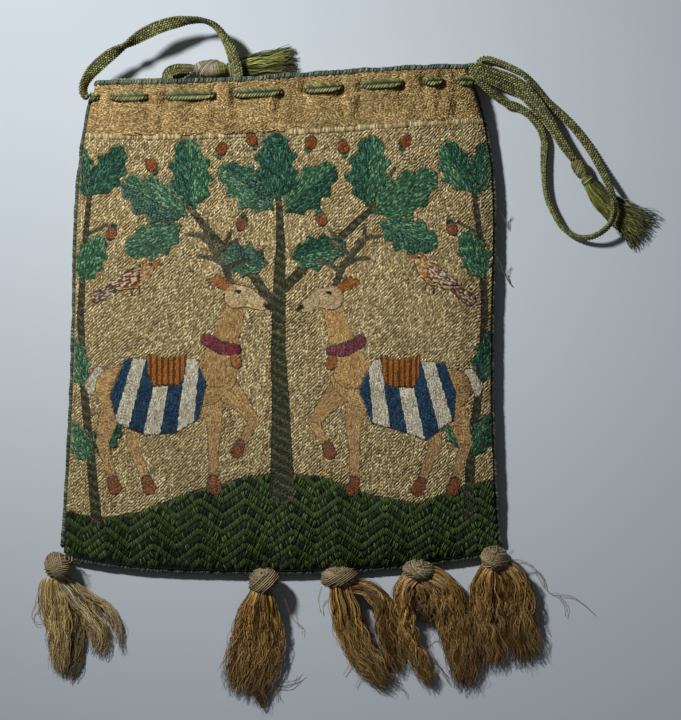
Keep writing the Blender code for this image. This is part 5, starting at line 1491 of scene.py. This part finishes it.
barrel = (((1, 0.06, 0), 20, -0.93, 0.4, 0), ((1, 0.3, 0.12), 6, -0.45, 0.1, 1),
          ((0.9, -0.35, 0.2), 4, -0.3, 0.0, 2))
knotPlace, knotSize = leftCorner + (34.7, 3.9, 3.0) + (5.7, 0.0, 0.0), np.array([5.9, 2.75, 2.75])
parts = windParts(knotPlace, knotSize, barrel, 160, ("aaa086", "968c72", "bab096", "82785f"), "675c4c",
                  thread=0.21)
parts += windParts(knotPlace, knotSize, (((1, 0.1, 0), 10, 0.36, 0.93, 0.5),), 166,
                   ("8a8450", "76743f", "9a9058"), "55512f", thread=0.22)[:1]
leftKnot = buildParts("leftKnotWinding", parts, paleThread, replaced=("left_knot",), slot="pale_thread")
fan = ([(-15.9, 85.72, 3.0), (-12.0, 86.3, 2.9), (-6.0, 87.0, 2.7), (0.0, 87.6, 2.5), (4.8, 88.2, 2.3)],
       (2.4, 3.5, 3.8, 4.2, 4.8), (1.9, 2.2, 2.1, 1.8, 1.5), 380, 1.1)
leftTassel = drawTassel("left", [fan], 161, 0.25, 0.16, (-16.4, 85.7, 3.0), (2.0, 2.3, 2.2), -0.7)

neckHeading = -56.5
neckWay = np.array([math.cos(math.radians(neckHeading)), math.sin(math.radians(neckHeading)), 0])
neckBands = (((1, 0.05, 0), 15, -0.9, 0.9, 0), ((1, 0.4, 0.1), 4, -0.35, 0.3, 1))
parts = windParts(rightCorner + (34.1, -32.2, 2.55) + neckWay * 3.3, np.array([4.1, 2.1, 2.0]), neckBands, 163,
                  ("948a5c", "807a4c", "a89e74", "6e6a44"), "55512f", thread=0.22, heading=neckHeading)
neckWrap = buildParts("rightNeckWinding", parts, paleThread, replaced=("right_neck_wrap",), slot="pale_thread")
spread = ([(102.6, 47.9, 2.5), (105.4, 43.8, 2.4), (110.0, 39.2, 2.2), (116.5, 34.8, 2.0), (122.5, 30.4, 1.9)],
          (1.9, 3.3, 4.0, 5.0, 6.4), (1.7, 2.0, 1.9, 1.6, 1.3), 340, 1.1)
lower = ([(103.0, 46.5, 2.4), (106.0, 41.5, 2.2), (111.0, 36.0, 1.9), (116.0, 31.0, 1.6), (119.0, 25.5, 1.4)],
         (1.6, 2.0, 2.0, 1.9, 1.4), (1.4, 1.5, 1.2, 1.0, 0.8), 120, 0.75)
rightTassel = drawTassel("right", [spread, lower], 164, 0.6, 0.17, (102.6, 47.9, 2.55), (1.8, 2.0, 1.9), -0.8,
                         neckHeading)
print("drawstring knots and tassels")


# Back: plain linen, its own header of golden silk, and the lining pouch
def wovenMaterial(name, warp, weft, pitch, rough):
    # plain weave: two sets of threads as sines of x and y at the thread pitch in millimetres
    material, tree, shader = newMaterial(name)
    place = addNode(tree, "ShaderNodeTexCoord")
    parts = addNode(tree, "ShaderNodeSeparateXYZ", {"Vector": place.outputs["Object"]})
    sines = []
    for axis in ("X", "Y"):
        scaled = addNode(tree, "ShaderNodeMath", {0: parts.outputs[axis]}, operation="MULTIPLY")
        scaled.inputs[1].default_value = 2 * math.pi / (pitch * 0.001)
        sines.append(addNode(tree, "ShaderNodeMath", {0: scaled.outputs[0]}, operation="SINE"))
    crossed = {0: sines[0].outputs[0], 1: sines[1].outputs[0]}
    weave = addNode(tree, "ShaderNodeMath", crossed, operation="MULTIPLY")
    blotch = addNode(tree, "ShaderNodeTexNoise", {"Vector": place.outputs["Object"]}, Scale=90.0, Detail=5.0)
    both = addNode(tree, "ShaderNodeMath", {0: weave.outputs[0], 1: blotch.outputs["Fac"]}, operation="ADD")
    share = addNode(tree, "ShaderNodeMapRange", {"Value": both.outputs[0]}, From_Min=-0.6, From_Max=1.6)
    mix = addNode(tree, "ShaderNodeMix", {"Factor": share.outputs["Result"]}, data_type="RGBA")
    mix.inputs[6].default_value, mix.inputs[7].default_value = (*linear(warp), 1), (*linear(weft), 1)
    relief = addNode(tree, "ShaderNodeBump", {"Height": weave.outputs[0]}, Strength=0.5, Distance=0.00015)
    tree.links.new(mix.outputs[2], shader.inputs["Base Color"])
    tree.links.new(relief.outputs["Normal"], shader.inputs["Normal"])
    shader.inputs["Roughness"].default_value = rough
    shader.inputs["Sheen Weight"].default_value = 0.2
    return material


backLinen = wovenMaterial("plain unbleached linen of the back", "8f7d59", "b09c72", 0.6, 0.9)


def backTop(wall):
    return lambda u, v: backHeight(u, v) + wall


points, faces = panelShell(backTop(bag["panelWall"]), backHeight, edgeUs, frontVs)
backCloth = buildMesh("backLinen", points, faces, backLinen, replaced=("back_panel",), slot="plain_linen")


def backRelief(x, y):
    u, v = planInverse(x, y)
    return backHeight(np.clip(u, -1, 1), np.clip(v, 0, 1))


points, faces = panelShell(backTop(bag["headerWall"]), backHeight, headerUs[::2], headerVs)
backHeader = buildMesh("backHeaderLinen", points, faces, headerLinen, replaced=("header_back",),
                       slot="golden_silk")
rows = headerRows(inHeader, 0.6, 1.25, 1.8, 0.66, 91)
stitchPiece("backHeaderStitches", rows, backRelief, 0.3, "golden_silk", side=-1)

liningSilk = wovenMaterial("thin rose brown silk lining", "7a4c3e", "98685a", 0.5, 0.5)
widest, lowest = 1 - 4.2 / (bag["bottomWidth"] / 2), 6.5 / clothHeight
pouchUs = np.sin(np.linspace(-math.pi / 2, math.pi / 2, 25))
rings = {0.0: [], 0.5: []}
for share in (1 - np.cos(np.linspace(0, math.pi, 27))) / 2:
    v = lowest + (borderV - 0.5 / clothHeight - lowest) * share
    for wall, around in rings.items():
        u = pouchUs * (widest - wall * 0.012) * (1 - 0.35 * np.clip(1 - share / 0.12, 0, 1) ** 2)
        x, y = plan(u, v)
        crease = 0.12 * noiseAt(x, y, 9, 97)
        step = bag["panelWall"] + bag["seamGap"] + 0.1 + wall
        y = y + wall * 0.4 * (share < 0.01)
        high = np.stack([x, y, frontHeight(u, v) - step - np.abs(crease)], axis=1)
        low = np.stack([x, y, backHeight(u, v) + step], axis=1)
        around.append(np.vstack([high, low[::-1]]))
outer, inner = (np.array(rings[wall]) for wall in (0.0, 0.5))
count, sides = outer.shape[:2]
j, k, inside = np.arange(sides // 2 - 1), np.arange(sides), count * sides
quads, foot = gridFaces(count, sides, wrap=True), np.stack([sides - 1 - j, sides - 2 - j, j + 1, j], axis=1)
rim = np.stack([inside - sides + k, inside - sides + (k + 1) % sides], axis=1)
rim = np.concatenate([rim, rim[:, ::-1] + inside], axis=1)
faces = np.concatenate([quads, quads[:, ::-1] + inside, foot, foot[:, ::-1] + inside, rim])
points = np.concatenate([outer.reshape(-1, 3), inner.reshape(-1, 3)])
liningPouch = buildMesh("liningPouch", points, faces, liningSilk, replaced=("lining",), slot="thin_silk")
print("back and lining")

# Loops of two-ply green thread that hold the bottom tassels, with the tufts of their fastenings
loopGreens = ("4a5434", "2c3a2a", "6a6a44")
loopReach = {  # half the length of each knot and its radius, the thread's own thickness included
    "far_left": (4.4, 4.6), "left": (5.0, 4.2), "middle": (6.0, 3.4), "right": (5.2, 3.3),
    "far_right": (4.6, 4.0),
}
leftEnd, rightEnd = outlineLeft(0.0) + edgeIn, outlineRight(0.0) - edgeIn
for seed, (name, (half, radius)) in enumerate(loopReach.items()):
    x, knotY, knotZ = bottomTassels[name][0]
    edge = float(outlineBottom(np.clip(2 * (x - leftEnd) / (rightEnd - leftEnd) - 1, -1, 1)))
    loopX = float(np.clip(x, leftEnd + 1.8, rightEnd - 1.8))

    def overKnot(aside, angle):
        clear = radius * math.sqrt(1 - min(abs(loopX + aside - x) / half, 0.8) ** 2) + 0.45
        return np.array([loopX + aside, knotY + clear * math.cos(angle), knotZ + clear * math.sin(angle)])

    def lowestAngle(aside):
        for degrees in range(-80, 60):
            place = overKnot(aside, math.radians(degrees))
            inside = max(place[1] - edge - edgeIn, 0)
            if place[2] - float(frontHeight(0, inside / clothHeight)) > 0.3:
                break
        return math.radians(degrees)

    crest = math.radians(50)
    route = [overKnot(-1.1, a) for a in np.linspace(lowestAngle(-1.1), crest, 5)]
    bends = np.linspace(-math.pi / 2, math.pi / 2, 5)[1:-1]
    route += [overKnot(1.1 * math.sin(t), crest + 0.28 * math.cos(t)) for t in bends]
    route += [overKnot(1.1, a) for a in np.linspace(crest, lowestAngle(1.1), 5)]
    path = smoothRoute(route, 0.25)[0]
    twist = np.arange(len(path)) * 0.25 / 1.6 * 2 * math.pi
    plies = []
    for spin in (twist + o for o in np.arange(5) * 1.257):
        plies.append(path + 0.16 * np.stack([np.cos(spin), 0.5 * np.sin(spin), np.sin(spin)], axis=1))
    rng = np.random.default_rng(170 + seed)
    tufts = []
    for _ in range(26):
        start = path[rng.choice([0, 2, len(path) - 3, len(path) - 1])] + rng.normal(0, 0.25, 3)
        way = np.array([rng.normal(0, 1.0), abs(rng.normal(0.4, 0.6)), abs(rng.normal(0.1, 0.3))])
        t = np.linspace(0, 1, 8)
        curl = np.stack([np.sin(t * rng.uniform(2, 6)), np.cos(t * rng.uniform(2, 6)) - 1, 0.2 * t], axis=1)
        tufts.append(start + way * t[:, None] * rng.uniform(0.8, 2.2) + curl * rng.uniform(0.2, 0.6))
    tufts = np.array(tufts)
    level = frontRelief(tufts[..., 0], tufts[..., 1]) + 0.35
    onCloth = tufts[..., 1] > edge + 1.0
    tufts[..., 2] = np.where(onCloth, np.maximum(tufts[..., 2], level), tufts[..., 2])
    parts = []
    for lines, size, palette in ((np.array(plies), 0.075, knotPalette), (tufts, 0.09, loopGreens)):
        points, faces, uvs, per = manyTubes(lines, np.full(lines.shape[:2], size), sides=5)
        parts.append((points, faces, uvs, np.repeat(mixed(rng, palette, len(lines)), per, axis=0)))
    piece, node = name.replace("_", "") + "ThreadLoop", "tassel_" + name + "_loop"
    buildParts(piece, parts, silkStitch, replaced=(node,), slot="dark_green_thread")
print("thread loops")

# loose thread ends that curl out from the right edge on to the table
frays = [
    [(495, 205, 6.4), (499, 210, 4.8), (502, 215, 3), (504, 220, 1.6), (507, 224, 0.8), (509, 230, 0.3)],
    [(496, 256, 5.2), (499, 264, 3.6), (502, 271, 2.2), (505, 275, 1.2), (508, 280, 0.6), (511, 285, 0.3)],
]
parts = wispParts(frays, ("74806a", "5c6a56"), 181, size=0.13)
buildParts("rightEdgeFrays", parts, silkStitch, slot="dark_green_thread")


# Table, light and camera
floor = {"size": 1400.0, "colour": "c2cad1", "rough": 0.55}
floorMaterial, tree, shader = newMaterial("pale painted table")
shader.inputs["Base Color"].default_value = (*linear(floor["colour"]), 1)
shader.inputs["Roughness"].default_value = floor["rough"]
bpy.ops.mesh.primitive_plane_add(size=floor["size"] / 1000, location=(0.02, -0.012, -0.0002))
table = bpy.context.object
table.name = "tableTop"
table.data.materials.append(floorMaterial)

light = {
    "power": 0.775, "size": 0.075, "from": (-0.349, 0.331, 0.46), "to": (0.02, 0.04, 0.0), "spread": 70.0,
    "sky": 0.06, "skyColour": (0.93, 0.96, 1.0, 1),
}
lamp = bpy.data.lights.new("windowSoftbox", "AREA")
lamp.energy, lamp.shape, lamp.size = light["power"], "DISK", light["size"]
lamp.spread = math.radians(light["spread"])
lampObject = bpy.data.objects.new("windowSoftbox", lamp)
bpy.context.scene.collection.objects.link(lampObject)
lampObject.location = light["from"]
aim = np.array(light["to"]) - np.array(light["from"])
tilt, heading = math.acos(-aim[2] / np.linalg.norm(aim)), math.atan2(aim[1], aim[0])
lampObject.rotation_euler = (tilt, 0, heading - math.pi / 2)

world = bpy.data.worlds.new("studioFill")
bpy.context.scene.world = world
world.use_nodes = True
sky = world.node_tree.nodes["Background"]
sky.inputs["Color"].default_value = light["skyColour"]
sky.inputs["Strength"].default_value = light["sky"]

view = {"frame": 0.2412, "height": 2.4, "centre": (0.01993, -0.01203)}  # frame: metres from top to bottom
camera = bpy.data.cameras.new("overheadCamera")
cameraObject = bpy.data.objects.new("overheadCamera", camera)
bpy.context.scene.collection.objects.link(cameraObject)
cameraObject.location = (*view["centre"], view["height"])
camera.sensor_fit = "VERTICAL"
camera.sensor_height = 24.0
camera.lens = camera.sensor_height * view["height"] / view["frame"]
bpy.context.scene.camera = cameraObject
bpy.context.scene.view_settings.view_transform = "Standard"
